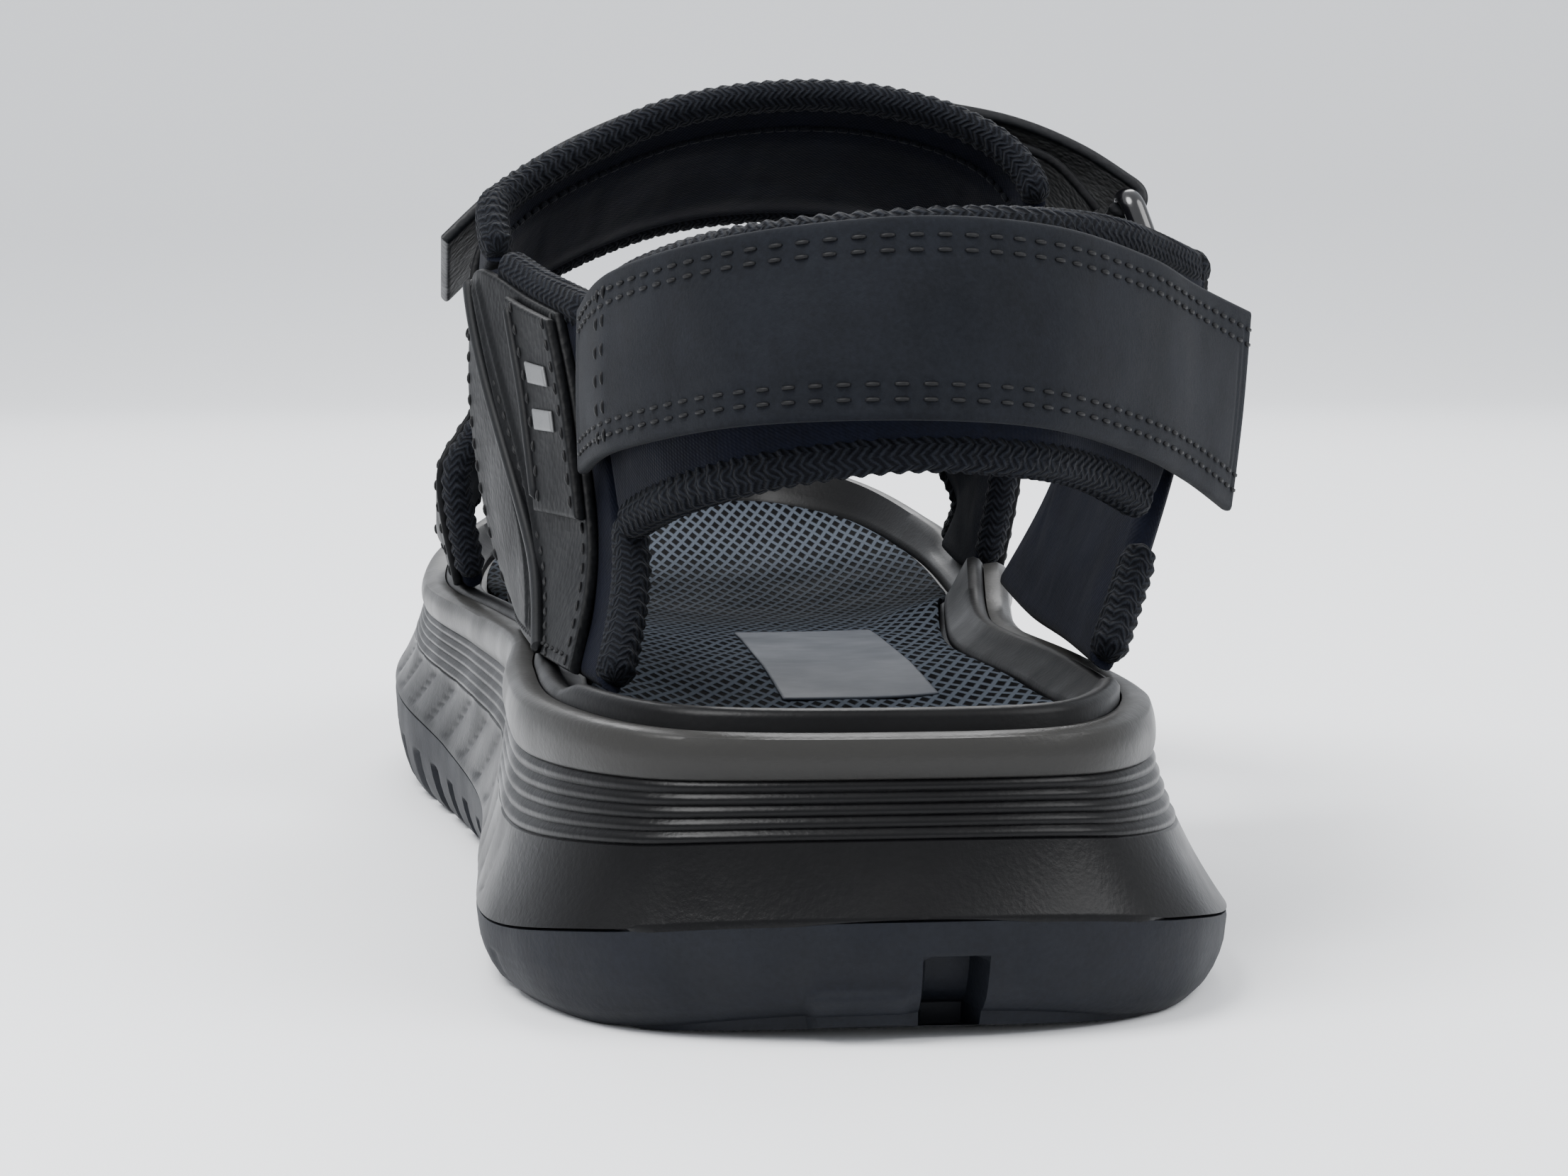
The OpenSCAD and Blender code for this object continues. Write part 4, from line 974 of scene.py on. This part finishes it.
@dataclass
class Upper:
    """Padded linings, leather panels, bindings and stitching that are sewn to the sole. Millimetres."""

    shop: Workshop
    sole: Sole
    pad_t: float = 3.4
    ply_gap: float = 0.25
    leather_t: float = 1.3
    most_swell: float = 1.1
    knit_pitch: float = 2.3

    def __post_init__(self) -> None:
        """Spans the surfaces of the upper."""
        self.lateral = Surface(rim_net(self.sole, [
            "-37.5 -24; -37.5 -48; -36 -76; -31.5 -106",
            "-42 -22 50; -38.5 -44 50; -33.5 -66 50; -28 -88 50",
            "-44.5 -17 68; -40.5 -38 68; -34.5 -57 68; -29.5 -76 68",
            "-43.9 -11 84.2; -43.1 -27 87.4; -37 -48 83.5; -31.5 -68 80.6"]))
        self.medial = Surface(rim_net(self.sole, [
            "34 -101; 35.5 -70; 36.5 -38; 37.5 -9",
            "41.5 -88 50; 43.5 -60 50; 44.8 -34 50; 45 -8 51",
            "49 -75 66; 51 -48 67; 52.5 -22 67; 53.5 4 66",
            "55.3 -59.5 86; 58 -32 86.5; 60 -3 84.5; 61 29 74.5"]))
        self.heel = Surface(rim_net(self.sole, [
            "-28 -86.4 56; -22.5 -106 61; -12 -122 65; 4 -128 67; 20 -121 66; 32 -104 63; 42.6 -87.4 58",
            "-29.3 -77 68; -25 -101 73; -14 -121.5 77; 4 -130 79; 22 -121.5 78; 36 -101.5 75; 49.6 -74.4 71",
            "-31.2 -69 81; -26 -96 86; -14.5 -117 90; 4 -125 92; 21.5 -117.5 92;"
            "37 -97 90.5; 54.3 -62.6 86.5"]))
        self.strap = Surface(rim_net(self.sole, [
            "-32.6 -76 60.7; -29.5 -100 65; -16.5 -126 69.3; 3 -135.5 70.5; 21 -127.5 69; 36.5 -107.5 64.5;"
            "47 -89 60; 56.5 -71 54.7",
            "-32.8 -76 71.6; -29.9 -100 76; -17 -125 80.5; 3 -134.2 82.2; 21.5 -126.5 81; 37.3 -106.8 77;"
            "48 -88.5 73; 58 -71 68.2",
            "-32.6 -76 82.5; -29.5 -99 87.5; -17 -122.5 91.7; 3 -131.5 94; 21.5 -124.5 93; 37.5 -105.5 89.3;"
            "48 -87.5 85.5; 59 -71 81.8"]))

    @property
    def leather(self) -> tuple[float, float]:
        """Inner and outer faces of a leather panel, above its lining."""
        return self.ply_gap, self.ply_gap + self.leather_t

    def lining(self, name: str, surface: Surface, node: str, crown: float = 1.1,
               count: tuple[int, int] = (110, 44)) -> None:
        """A foam-backed lining: smooth outside, plump inside, thin where its edge is bound.

        Args:
            name: the piece's name.
            surface: its outer face.
            node: the CAD node that it stands for.
            crown: how much thicker it is away from its edges.
            count: number of points each way.
        """
        slab = Slab(surface, -self.pad_t, 0.0, round_mm=1.5, crown=crown, count=count)

        def soft(along: Array, up: Array, edge: Array) -> Array:
            """Shallow dents that fade out at the edge: two crossed slow waves."""
            return -0.3 * step_up(edge, 2,
                                  12) * (np.sin(along / 9.0 + up / 17) * np.sin(up / 7.5 - along / 23)) ** 2

        piece = slab.build(name, self.shop.materials["neoprene"], soft)
        plump(piece, slab.sewn, self.most_swell)
        self.shop.fit(piece, "neoprene", node, pad=0.5)

    def panel(self, name: str, surface: Surface, span_u: tuple[float, float], span_v: tuple[float, float],
              *nodes: str,
              level: int = 0, relief: Relief | None = None, count: tuple[int, int] = (90, 40)) -> Object:
        """A leather panel over part of a surface.

        Args:
            name: the piece's name.
            surface: the lining's outer face.
            span_u: where the panel starts and stops along the surface.
            span_v: where it starts and stops across it.
            nodes: the CAD nodes that it stands for.
            level: how many leather layers lie under it.
            relief: height added to its outer face.
            count: number of points each way.
        Returns:
            The new piece.
        """
        low, high = self.leather
        rise = level * (self.leather_t + self.ply_gap)
        slab = Slab(surface, low + rise - self.ply_gap, high + rise, span_u, span_v, 0.55, count=count)
        return self.shop.fit(slab.build(name, self.shop.materials["leather"], relief), "leather", *nodes)

    def seam(self, name: str, surface: Surface, places: Places, lift: float, pitch: float = 3.0,
             dash: float = 1.9, body: str = "sandal", finish: str = "thread", thick: float = 0.3) -> None:
        """A row of stitches on a surface.

        Args:
            name: the piece's name.
            surface: what it is sewn on.
            places: where it runs, as u and v.
            lift: height of the sewn face above the surface.
            pitch: distance from stitch to stitch.
            dash: length of the thread that shows.
            body: the body that it moves with.
            finish: the name of its finish.
            thick: half of the thread's thickness.
        """
        path = smooth_path(np.array(places), 24) if len(places) > 2 else np.linspace(*np.array(places), 60)
        path = np.clip(path, 0, 1)
        row = stitch_row(name, surface, path[:, 0], path[:, 1], lift, self.shop.materials[finish], pitch,
                         dash, thick)
        self.shop.fit(row, finish, body=body)

    def binding(self, name: str, surface: Surface, edge: Edge, span: tuple[float, float], node: str,
                half_w: float = 2.7) -> None:
        """A knitted tape folded over an edge: an oval tube with slanted zigzag ridges.

        The ridges are a sine of the length along plus the cosine of the angle around, whose sign is lost,
        so that they point the same way on both faces.

        Args:
            name: the piece's name.
            surface: the bound sheet.
            edge: which of its edges is bound.
            span: where along the edge the tape starts and stops.
            node: the CAD node that it stands for.
            half_w: half of the tape's width.
        """
        along_u, end = edge.value
        t = np.linspace(*span, EDGE_SAMPLES)
        fixed, near = np.full(EDGE_SAMPLES, end), np.full(EDGE_SAMPLES, abs(end - 0.03))

        def pick(along_edge: Array, over: Array) -> tuple[Array, Array]:
            """The u and v of places on the edge."""
            return (along_edge, over) if along_u else (over, along_edge)

        path, inner = surface.points(*pick(t, fixed)), surface.points(*pick(t, near))
        out = surface.normals(*pick(t, fixed))
        path, inner, out = evened(path, 0.42, inner, out)
        along = unit(np.gradient(path, axis=0))
        side = path - inner
        side = unit(side - along * np.sum(side * along, 1, keepdims=True))
        out = unit(out)
        middle = path + side * 0.8 - out * (self.pad_t / 2)
        turned = np.sum(np.cross(along, side) * out) > 0

        def ripple(run: Array, angle: Array) -> Array:
            """Height of the knit's ridges."""
            return 0.2 * np.sin(TAU * (run / self.knit_pitch + 0.75 * np.abs(np.cos(angle))))

        points, faces, flat = tube(middle, side, out, half_w, self.pad_t / 2 + 0.65, ripple)
        piece = make_mesh(name, points, faces if turned else faces[:, ::-1], self.shop.materials["knit"],
                          flat,
                          merge=True, sharp=80)
        self.shop.fit(piece, "knit", node)

    def welt(self, name: str, surface: Surface, places: Places, lift: float, radius: float,
             *nodes: str) -> None:
        """A raised round welt on a surface.

        Args:
            name: the piece's name.
            surface: what it lies on.
            places: where it runs, as u and v.
            lift: height of its middle above the surface.
            radius: half of its width.
            nodes: the CAD nodes that it stands for.
        """
        path = np.clip(smooth_path(np.array(places), 30), 0, 1)
        out = surface.normals(path[:, 0], path[:, 1])
        line, out = evened(surface.points(path[:, 0], path[:, 1]) + out * lift, 0.8, out)
        side = unit(np.cross(unit(np.gradient(line, axis=0)), out))
        points, faces, flat = tube(line, side, unit(out), radius, radius * 0.9, sides=12)
        piece = make_mesh(name, points, faces, self.shop.materials["welt_rubber"], flat, merge=True)
        self.shop.fit(piece, "welt_rubber", *nodes)

    def lateral_side(self) -> None:
        """The outer quarter: lining, leather with slanting welts, bindings and the strap's anchor tab."""
        high = self.leather[1]
        self.lining("lateral_padding", self.lateral, "lateral_lining")

        def ribs(along: Array, up: Array, edge: Array) -> Array:
            """Three slanting ribs near the front of the panel, each a narrow bell."""
            lean = along - 0.52 * (up[-1:] - up) - 6
            return 0.55 * sum(np.exp(-((lean - k) / 0.9) ** 2) for k in (0, 4.2, 8.4)) * step_up(edge, 1, 3)

        self.panel("lateral_leather", self.lateral, (0, 0.86), (0, 1), "lateral_quarter", relief=ribs,
                   count=(150, 80))
        self.welt("lateral_welt", self.lateral, [(0.14, 0.99), (0.24, 0.8), (0.4, 0.5), (0.54, 0.25), (0.66,
                0.02)],
                  high + 0.5, 0.95, "lateral_piping")
        for row, places in (
                ("front", [(0.035, 0.03), (0.035, 0.97)]),
                ("welt", [(0.19, 0.97), (0.29, 0.8), (0.45, 0.5), (0.59, 0.25), (0.7, 0.03)]),
                ("rear", [(0.83, 0.04), (0.83, 0.96)]),
                ("lower", [(0.06, 0.055), (0.8, 0.055)])):
            self.seam(f"lateral_{row}_stitches", self.lateral, places, high)
        self.binding("lateral_rear_edge", self.lateral, Edge.REAR, (0.03, 0.44), "lateral_rear_binding")
        self.binding("lateral_top_edge", self.lateral, Edge.TOP, (0.42, 0.97), "lateral_top_binding")
        self.panel("strap_anchor_tab", self.lateral, (0.58, 0.86), (0.42, 0.965), "heel_strap_anchor",
                   level=1)
        lift = high + self.leather_t + self.ply_gap
        self.welt("anchor_welt", self.lateral, [(0.6, 0.45), (0.59, 0.6), (0.59, 0.8), (0.6, 0.94)], lift,
                  0.8)
        for k, u in enumerate((0.625, 0.835)):
            self.seam(f"anchor_stitches_{k}", self.lateral, [(u, 0.46), (u, 0.94)], lift)
        for k, v in enumerate((0.62, 0.74)):
            self.mark(f"anchor_bar_{k}", v, lift)

    def mark(self, name: str, v: float, lift: float) -> None:
        """A short plain bar of pale rubber on the anchor tab."""
        slab = Slab(self.lateral, lift - 0.1, lift + 0.5, (0.665, 0.79), (v, v + 0.055), 0.35, count=(24, 8))
        self.shop.fit(slab.build(name, self.shop.materials["pale_mark"]), "pale_mark")

    def medial_side(self) -> None:
        """The inner quarter: lining, leather and bindings."""
        high = self.leather[1]
        self.lining("medial_padding", self.medial, "medial_lining")
        self.panel("medial_leather", self.medial, (0.14, 1), (0, 1), "medial_quarter", count=(130, 60))
        for row, places in (("front", [(0.965, 0.04), (0.965, 0.96)]), ("rear", [(0.17, 0.04), (0.17, 0.96)]),
                            ("lower", [(0.2, 0.055), (0.94, 0.055)])):
            self.seam(f"medial_{row}_stitches", self.medial, places, high)
        self.binding("medial_rear_edge", self.medial, Edge.FRONT, (0.03, 0.34), "medial_rear_binding")
        self.binding("medial_top_edge", self.medial, Edge.TOP, (0.04, 0.72), "medial_top_binding")

    def heel_band(self) -> None:
        """The padded band behind the heel and its two knitted edges."""
        self.lining("heel_padding", self.heel, "heel_band", 1.4, (200, 44))
        self.binding("heel_top_edge", self.heel, Edge.TOP, (0.02, 0.985), "heel_band_top_binding")
        self.binding("heel_bottom_edge", self.heel, Edge.BOTTOM, (0.01, 0.98), "heel_band_bottom_binding")
        for k, v in enumerate((-5.2, 5.2)):
            at = self.heel.up_to(v)
            self.seam(f"heel_inner_stitches_{k}", self.heel, [(0.05, at), (0.95, at)], -self.pad_t - 1.2)

    def build(self) -> None:
        """Makes the sewn upper."""
        self.lateral_side()
        self.medial_side()
        self.heel_band()


# ---------------------------------------------------------------- closures
@dataclass
class HeelStrap:
    """The strap behind the heel: sewn at the outer side, closed by hook and loop at the inner side."""

    shop: Workshop
    upper: Upper
    strap_t: float = 1.8
    body: str = "heel_strap"

    def build(self) -> None:
        """Makes the strap, its stitches and its tapes."""
        strap = self.upper.strap
        slab = Slab(strap, -self.strap_t, 0, round_mm=0.7, count=(240, 26))

        def pressed(along: Array, up: Array, edge: Array) -> Array:
            """A shallow trough along each stitch row."""
            return -0.16 * sum(np.exp(-((edge - d) / 0.45) ** 2) for d in (2.4, 4.2))

        self.shop.fit(slab.build("heel_strap_leather", self.shop.materials["strap_nubuck"], pressed),
                      "strap_nubuck",
                      "heel_strap", body=self.body)
        for k, mm in enumerate((2.4, 4.2, -4.2, -2.4)):
            v = strap.up_to(mm)
            self.upper.seam(f"heel_strap_stitches_{k}", strap, [(0.035, v), (0.985, v)], -0.02, 3.3, 1.9,
                            self.body)
        for k, u in enumerate((0.118, 0.133)):
            self.upper.seam(f"heel_strap_end_stitches_{k}", strap, [(u, 0.14), (u, 0.86)], -0.02, 2.8, 1.8,
                            self.body)
        self.shop.dress("heel_strap_hook_pad", "hook_tape")
        self.shop.dress("heel_strap_loop_pad", "loop_tape")


@dataclass
class RingClosure:
    """A strap that folds round a ring, lies back over itself and is held by hook and loop. Millimetres."""

    shop: Workshop
    upper: Upper
    name: str
    section: Array
    slope: Slope
    start: float
    width: float
    leave: float
    strap_t: float = 1.8
    hook_t: float = 0.9
    bar_r: float = 1.5
    bar_clear: float = 0.35

    def __post_init__(self) -> None:
        """Finds the ring's two bars from the joints that turn about them."""
        joints = {j["name"]: np.array(j["pos_m"]) / MM for j in frame["joints"]}
        self.bar = self.slope.local(joints[f"{self.name}_strap_lift"])[[0, 2]]
        self.catch = self.slope.local(joints[f"{self.name}_ring_tilt"])[[0, 2]]
        self.fold_out = self.bar_r + self.bar_clear + self.strap_t
        self.stack = 4 * self.upper.ply_gap + self.upper.leather_t + 2 * self.hook_t

    def strap(self, flap: Array, from_point: int, to_point: int, tip: Array | None = None) -> None:
        """The strap: from its free end over the foot, round the bar and back under it.

        Args:
            flap: its path from the section to the bar, in the cross-section.
            from_point: the section's first point that it follows.
            to_point: the section's last point that it follows.
            tip: where its free end starts, if that is outside the section.
        """
        over = offset_path(self.section, self.stack + self.strap_t)[from_point:to_point + 1]
        leave = np.radians(self.leave)
        out = np.array([math.cos(leave), math.sin(leave)])
        lead = self.bar + out * self.fold_out + np.array([-out[1], out[0]]) * 0.8
        parts = [over, flap, lead[None]] if tip is None else [tip, over, flap, lead[None]]
        path = np.concatenate([smooth_path(np.concatenate(parts), 8), arc(self.bar, self.fold_out,
                self.leave, -150)])
        surface = self.slope.ribbon(path, self.start, self.width)
        body = f"{self.name}_strap"
        slab = Slab(surface, -self.strap_t, 0, round_mm=0.6, count=(260, 20))
        piece = slab.build(f"{self.name}_strap_leather", self.shop.materials["strap_smooth"])
        self.shop.fit(piece, "strap_smooth", f"{self.name}_strap", body=body)
        for k, edge in enumerate((2.2, self.width - 2.2)):
            v = edge / self.width
            self.upper.seam(f"{self.name}_strap_stitches_{k}", surface, [(0.015, v), (0.72, v)], -0.03, 3.0,
                            1.8, body)
        self.upper.seam(f"{self.name}_strap_tip_stitches", surface, [(0.02, 0.1), (0.02, 0.9)], -0.03, 2.8,
                        1.7, body)

    def base(self, path: Array, node: str) -> None:
        """The leather that lies over the lining and carries the loop tape."""
        surface = self.slope.ribbon(path, self.start, self.width)
        self.upper.panel(f"{self.name}_base_leather", surface, (0, 1), (0, 1), node, count=(150, 16))
        for k, v in enumerate((0.07, 0.93)):
            self.upper.seam(f"{self.name}_base_stitches_{k}", surface, [(0.01, v), (0.97, v)],
                            self.upper.leather[1])

    def keeper(self, tail: Array, node: str) -> None:
        """The webbing loop round the ring's lower bar, with a tail stitched to the quarter."""
        thick = self.upper.leather_t
        radius = self.bar_r + self.bar_clear + thick
        down = np.concatenate([[[radius, 0]], tail + [thick, 0]]) + self.catch
        path = np.concatenate([arc(self.catch, radius, 300, 0)[:-1], smooth_path(down, 6)])
        surface = self.slope.ribbon(path, self.start + 0.5, self.width - 1)
        slab = Slab(surface, -thick, 0, round_mm=0.4, count=(90, 16))
        piece = slab.build(f"{self.name}_keeper_webbing", self.shop.materials["webbing"])
        self.shop.fit(piece, "webbing", node)
        self.upper.seam(f"{self.name}_keeper_stitches", surface, [(0.94, 0.06), (0.94, 0.94)], 0, 2.6, 1.7)

    def ring(self) -> None:
        """The moulded ring: a round section carried round a rectangle with rounded corners."""
        gap = self.bar - self.catch
        reach, ends = np.linalg.norm(gap) / 2, self.width / 2 + 1.8
        corner, n = 3.2, 12
        quarter = np.radians(np.linspace(0, 90, n))
        turn = np.concatenate([quarter + k * math.pi / 2 for k in range(4)] + [[TAU]])
        sx = np.concatenate([np.full(n, s) for s in (1, -1, -1, 1)] + [[1]])
        sy = np.concatenate([np.full(n, s) for s in (1, 1, -1, -1)] + [[1]])
        a = sx * (reach - corner) + corner * np.cos(turn)
        b = sy * (ends - corner) + corner * np.sin(turn)
        middle = (self.bar + self.catch) / 2
        across = gap / np.linalg.norm(gap)
        spot = middle + a[:, None] * across
        path = self.slope.place(spot[:, 0], self.start + self.width / 2 + b, spot[:, 1])
        tangent = unit(np.roll(path[:-1], -1, 0) - np.roll(path[:-1], 1, 0))
        tangent = np.concatenate([tangent, tangent[:1]])
        face = unit(np.cross(path[n] - path[0], path[2 * n] - path[n]))[None] + 0 * path
        side = np.cross(tangent, face)
        angle = np.arange(25) * TAU / 24
        flat = np.abs(b) > ends - corner
        wide = np.where(flat, 1.5, self.bar_r)[:, None]
        thick = np.where(flat, 1.9, self.bar_r)[:, None]
        rings = path[:, None] + side[:, None] * (wide * np.cos(angle))[..., None] + face[:, None] * (
            thick * np.sin(angle))[..., None]
        points, faces = rings.reshape(-1, 3), quads(*rings.shape[:2])
        piece = make_mesh(f"{self.name}_ring_loop", points, faces, self.shop.materials["ring_plastic"],
                          merge=True)
        shape = bmesh.new()
        shape.from_mesh(piece.data)
        bmesh.ops.recalc_face_normals(shape, faces=shape.faces)
        shape.to_mesh(piece.data)
        shape.free()
        self.shop.fit(piece, "ring_plastic", f"{self.name}_ring", body=f"{self.name}_ring")

    def tapes(self) -> None:
        """The hook tape under the strap and the loop tape on the base keep their shapes."""
        self.shop.dress(f"{self.name}_hook_pad", "hook_tape")
        self.shop.dress(f"{self.name}_loop_pad", "loop_tape")


def saddle(section: Array, slope: Slope, rows: list[Array], ends: list[tuple]) -> Surface:
    """A lining that saddles the foot.

    Args:
        section: its cross-section.
        slope: the frame that the section is drawn in.
        rows: for each row of the net, the distance along the slope of each point of the section.
        ends: for each row, the points before its section and those after it.
    Returns:
        The lining's outer face.
    """
    net = []
    for ys, (lead, tail) in zip(rows, ends):
        middle = slope.place(section[:, 0], ys, section[:, 1])
        net.append(np.concatenate([*[e[None] for e in lead], middle, *[e[None] for e in tail]]))
    return Surface(np.stack(net))


@dataclass
class Instep:
    """The instep: a padded saddle with a ring closure over it. Millimetres and degrees."""

    shop: Workshop
    upper: Upper
    strap_start: float = 13.0
    strap_w: float = 28.0
    leave: float = 50.0
    seam_in: float = 6.5
    slope: Slope = field(default_factory=lambda: Slope(0, 100, 20))
    section: Array = field(default_factory=lambda: table(
        "-44 -11; -42.5 -5.3; -37 1; -27 7.8; -14 13.4; 0 16; 14 16; 27 13.3; 36 8.4; 41 2; 43 -5"))
    rows: Array = field(default_factory=lambda: table(
        "-15 -8 -3 0 0 0 0 0 -1 -3 -5; 8 12 15 18 20 20 20 20 18 16 15;"
        "33.5 37 41 44 46 47 47.2 46.5 44 40 37"))
    side: Array = field(default_factory=lambda: table("-43.3 -27.6 88.4; -44 -11 85.2; -44.4 12 80"))

    def build(self) -> None:
        """Makes the saddle, its bindings and its closure."""
        upper = self.upper
        pad = saddle(self.section, self.slope, list(self.rows), [((s,), ()) for s in self.side])
        upper.lining("instep_padding", pad, "instep_pad", 1.2, (170, 56))
        upper.binding("instep_rear_edge", pad, Edge.BOTTOM, (0.01, 0.99), "instep_pad_rear_binding")
        upper.binding("instep_front_edge", pad, Edge.TOP, (0.01, 0.99), "instep_pad_front_binding")
        inner = pad.up_to(self.seam_in)
        upper.seam("instep_inner_stitches", pad, [(0.06, inner), (0.5, inner), (0.95, inner)],
                   -upper.pad_t - 0.9, 1.9, 1.7, finish="knit", thick=0.5)
        closure = RingClosure(self.shop, upper, "instep", self.section, self.slope, self.strap_start,
                              self.strap_w, self.leave)
        closure.strap(table("33 19.2; 43.5 16.6; 53 12.2"), 2, 6, table("-50 -3.4"))
        lead = closure.bar + [-closure.fold_out - 1.6, -2.6]
        over = np.concatenate([self.section[:7], table("27 14; 38 12.2; 47 9"), lead[None]])
        closure.base(smooth_path(over, 6), "instep_strap_base")
        closure.keeper(table("1.3 -4; 0.1 -8"), "instep_keeper")
        closure.ring()
        closure.tapes()


@dataclass
class Forefoot:
    """The forefoot: a padded saddle down to the sole on both sides, with a ring closure. Millimetres."""

    shop: Workshop
    upper: Upper
    strap_start: float = -9.5
    strap_w: float = 24.0
    leave: float = 68.0
    slope: Slope = field(default_factory=lambda: Slope(54, 59, 14))
    section: Array = field(default_factory=lambda: table(
        "-49.3 -12; -46 -4; -40.5 3.5; -32 10; -20 15; -4 18; 12 17.6; 26 14; 36 7.7; 42 -1; 44.5 -9"))
    rows: Array = field(default_factory=lambda: table(
        "-24 -23 -21 -18 -15 -14 -15 -17 -19 -20 -20; 0 0 0 0 0 0 0 0 0 0 0;"
        "24 23 22 21 21 22 22 22 22 22 22"))

    def panels(self, pad: Surface) -> None:
        """The leather panel at each foot of the saddle, with its stitches."""
        high = self.upper.leather[1]
        for side, span, node in (("lateral", (0.005, 0.25), "forefoot_lateral_panel"),
                                 ("medial", (0.78, 0.995), "forefoot_medial_panel")):
            self.upper.panel(f"forefoot_{side}_leather", pad, span, (0.03, 0.97), node, count=(60, 50))
            for k, v in enumerate((0.09, 0.91)):
                self.upper.seam(f"forefoot_{side}_stitches_{k}", pad, [(span[0] + 0.015, v),
                        (span[1] - 0.015, v)],
                                high)
            edge = span[1] - 0.012 if side == "lateral" else span[0] + 0.012
            self.upper.seam(f"forefoot_{side}_end_stitches", pad, [(edge, 0.1), (edge, 0.9)], high)

    def build(self) -> None:
        """Makes the saddle, its panels and bindings, and its closure."""
        upper = self.upper
        feet = rim_net(upper.sole, ["-46.5 30; 41.5 34", "-46.8 54; 42 56", "-45.6 78; 42 78"])
        pad = saddle(self.section, self.slope, list(self.rows), [((f[0],), (f[1],)) for f in feet])
        upper.lining("forefoot_padding", pad, "forefoot_lining", 1.0, (190, 56))
        upper.binding("forefoot_rear_edge", pad, Edge.BOTTOM, (0.012, 0.988), "forefoot_rear_binding")
        upper.binding("forefoot_front_edge", pad, Edge.TOP, (0.012, 0.988), "forefoot_front_binding")
        self.panels(pad)
        closure = RingClosure(self.shop, upper, "forefoot", self.section, self.slope, self.strap_start,
                              self.strap_w, self.leave)
        closure.strap(table("29 21.8"), 3, 6)
        lead = closure.bar + [-closure.fold_out - 0.5, -2.2]
        closure.base(np.concatenate([smooth_path(self.section, 6)[18:43], lead[None]]), "forefoot_strap_base")
        closure.keeper(table("0.2 -4; -1.7 -8"), "forefoot_keeper")
        closure.ring()
        closure.tapes()


# ---------------------------------------------------------------- studio
def studio() -> None:
    """A pale floor that sweeps up into a backdrop, soft lights from above and both sides, and the camera."""
    scene = bpy.context.scene
    world = bpy.data.worlds.new("studio_air")
    world.use_nodes = True
    world.node_tree.nodes["Background"].inputs["Color"].default_value = (0.95, 0.97, 1.0, 1)
    world.node_tree.nodes["Background"].inputs["Strength"].default_value = 1.15
    scene.world = world
    bend = np.radians(np.linspace(-90, 0, 30))
    profile = np.concatenate([[[-3000, 0]], np.stack([1500 + 1200 * np.cos(bend),
                                                      1200 + 1200 * np.sin(bend)], 1),
                              [[2700, 4500]]])
    x = np.array([-5000, 5000])
    sweep = np.stack([np.broadcast_to(x, (len(profile), 2)), np.repeat(profile[:, :1], 2, 1),
                      np.repeat(profile[:, 1:], 2, 1)], -1)
    floor = make_mesh("studio_floor", sweep.reshape(-1, 3), quads(len(profile), 2), floor_material())
    for name, place, turn, size, power in (
            ("key", (-0.55, -0.35, 1.1), (28, 0, -52), 0.7, 22.0),
            ("fill", (0.9, -0.5, 1.0), (42, 0, 58), 0.9, 13.0),
            ("back", (0.1, 1.2, 1.1), (-50, 0, 5), 1.0, 18.0)):
        lamp = bpy.data.lights.new(name, "AREA")
        lamp.shape, lamp.size, lamp.energy = "DISK", size, power
        light = bpy.data.objects.new(name, lamp)
        light.location = place
        light.rotation_euler = Euler([math.radians(a) for a in turn])
        scene.collection.objects.link(light)
    lens = bpy.data.cameras.new("view")
    lens.lens, lens.sensor_width, lens.clip_start = 77.3, 36.0, 0.01
    camera = bpy.data.objects.new("view", lens)
    camera.location = (-0.0517, -0.518, 0.089)
    camera.rotation_euler = Euler([math.radians(a) for a in (84.4, 0, -6.0)])
    scene.collection.objects.link(camera)
    scene.camera = camera


def floor_material() -> Material:
    """A plain, nearly white, matt floor."""
    g = Graph("floor_paper")
    g.shader.inputs["Base Color"].default_value = (0.86, 0.87, 0.89, 1)
    g.shader.inputs["Roughness"].default_value = 0.9
    return g.material


def main() -> None:
    """Builds the sandal piece by piece."""
    logging.basicConfig(level=logging.INFO, format="%(name)s: %(message)s")
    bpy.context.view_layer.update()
    studio()
    shop = Workshop()
    sole = Sole(shop)
    sole.build()
    upper = Upper(shop, sole)
    upper.build()
    HeelStrap(shop, upper).build()
    Instep(shop, upper).build()
    Forefoot(shop, upper).build()


if __name__ == "__main__":
    main()
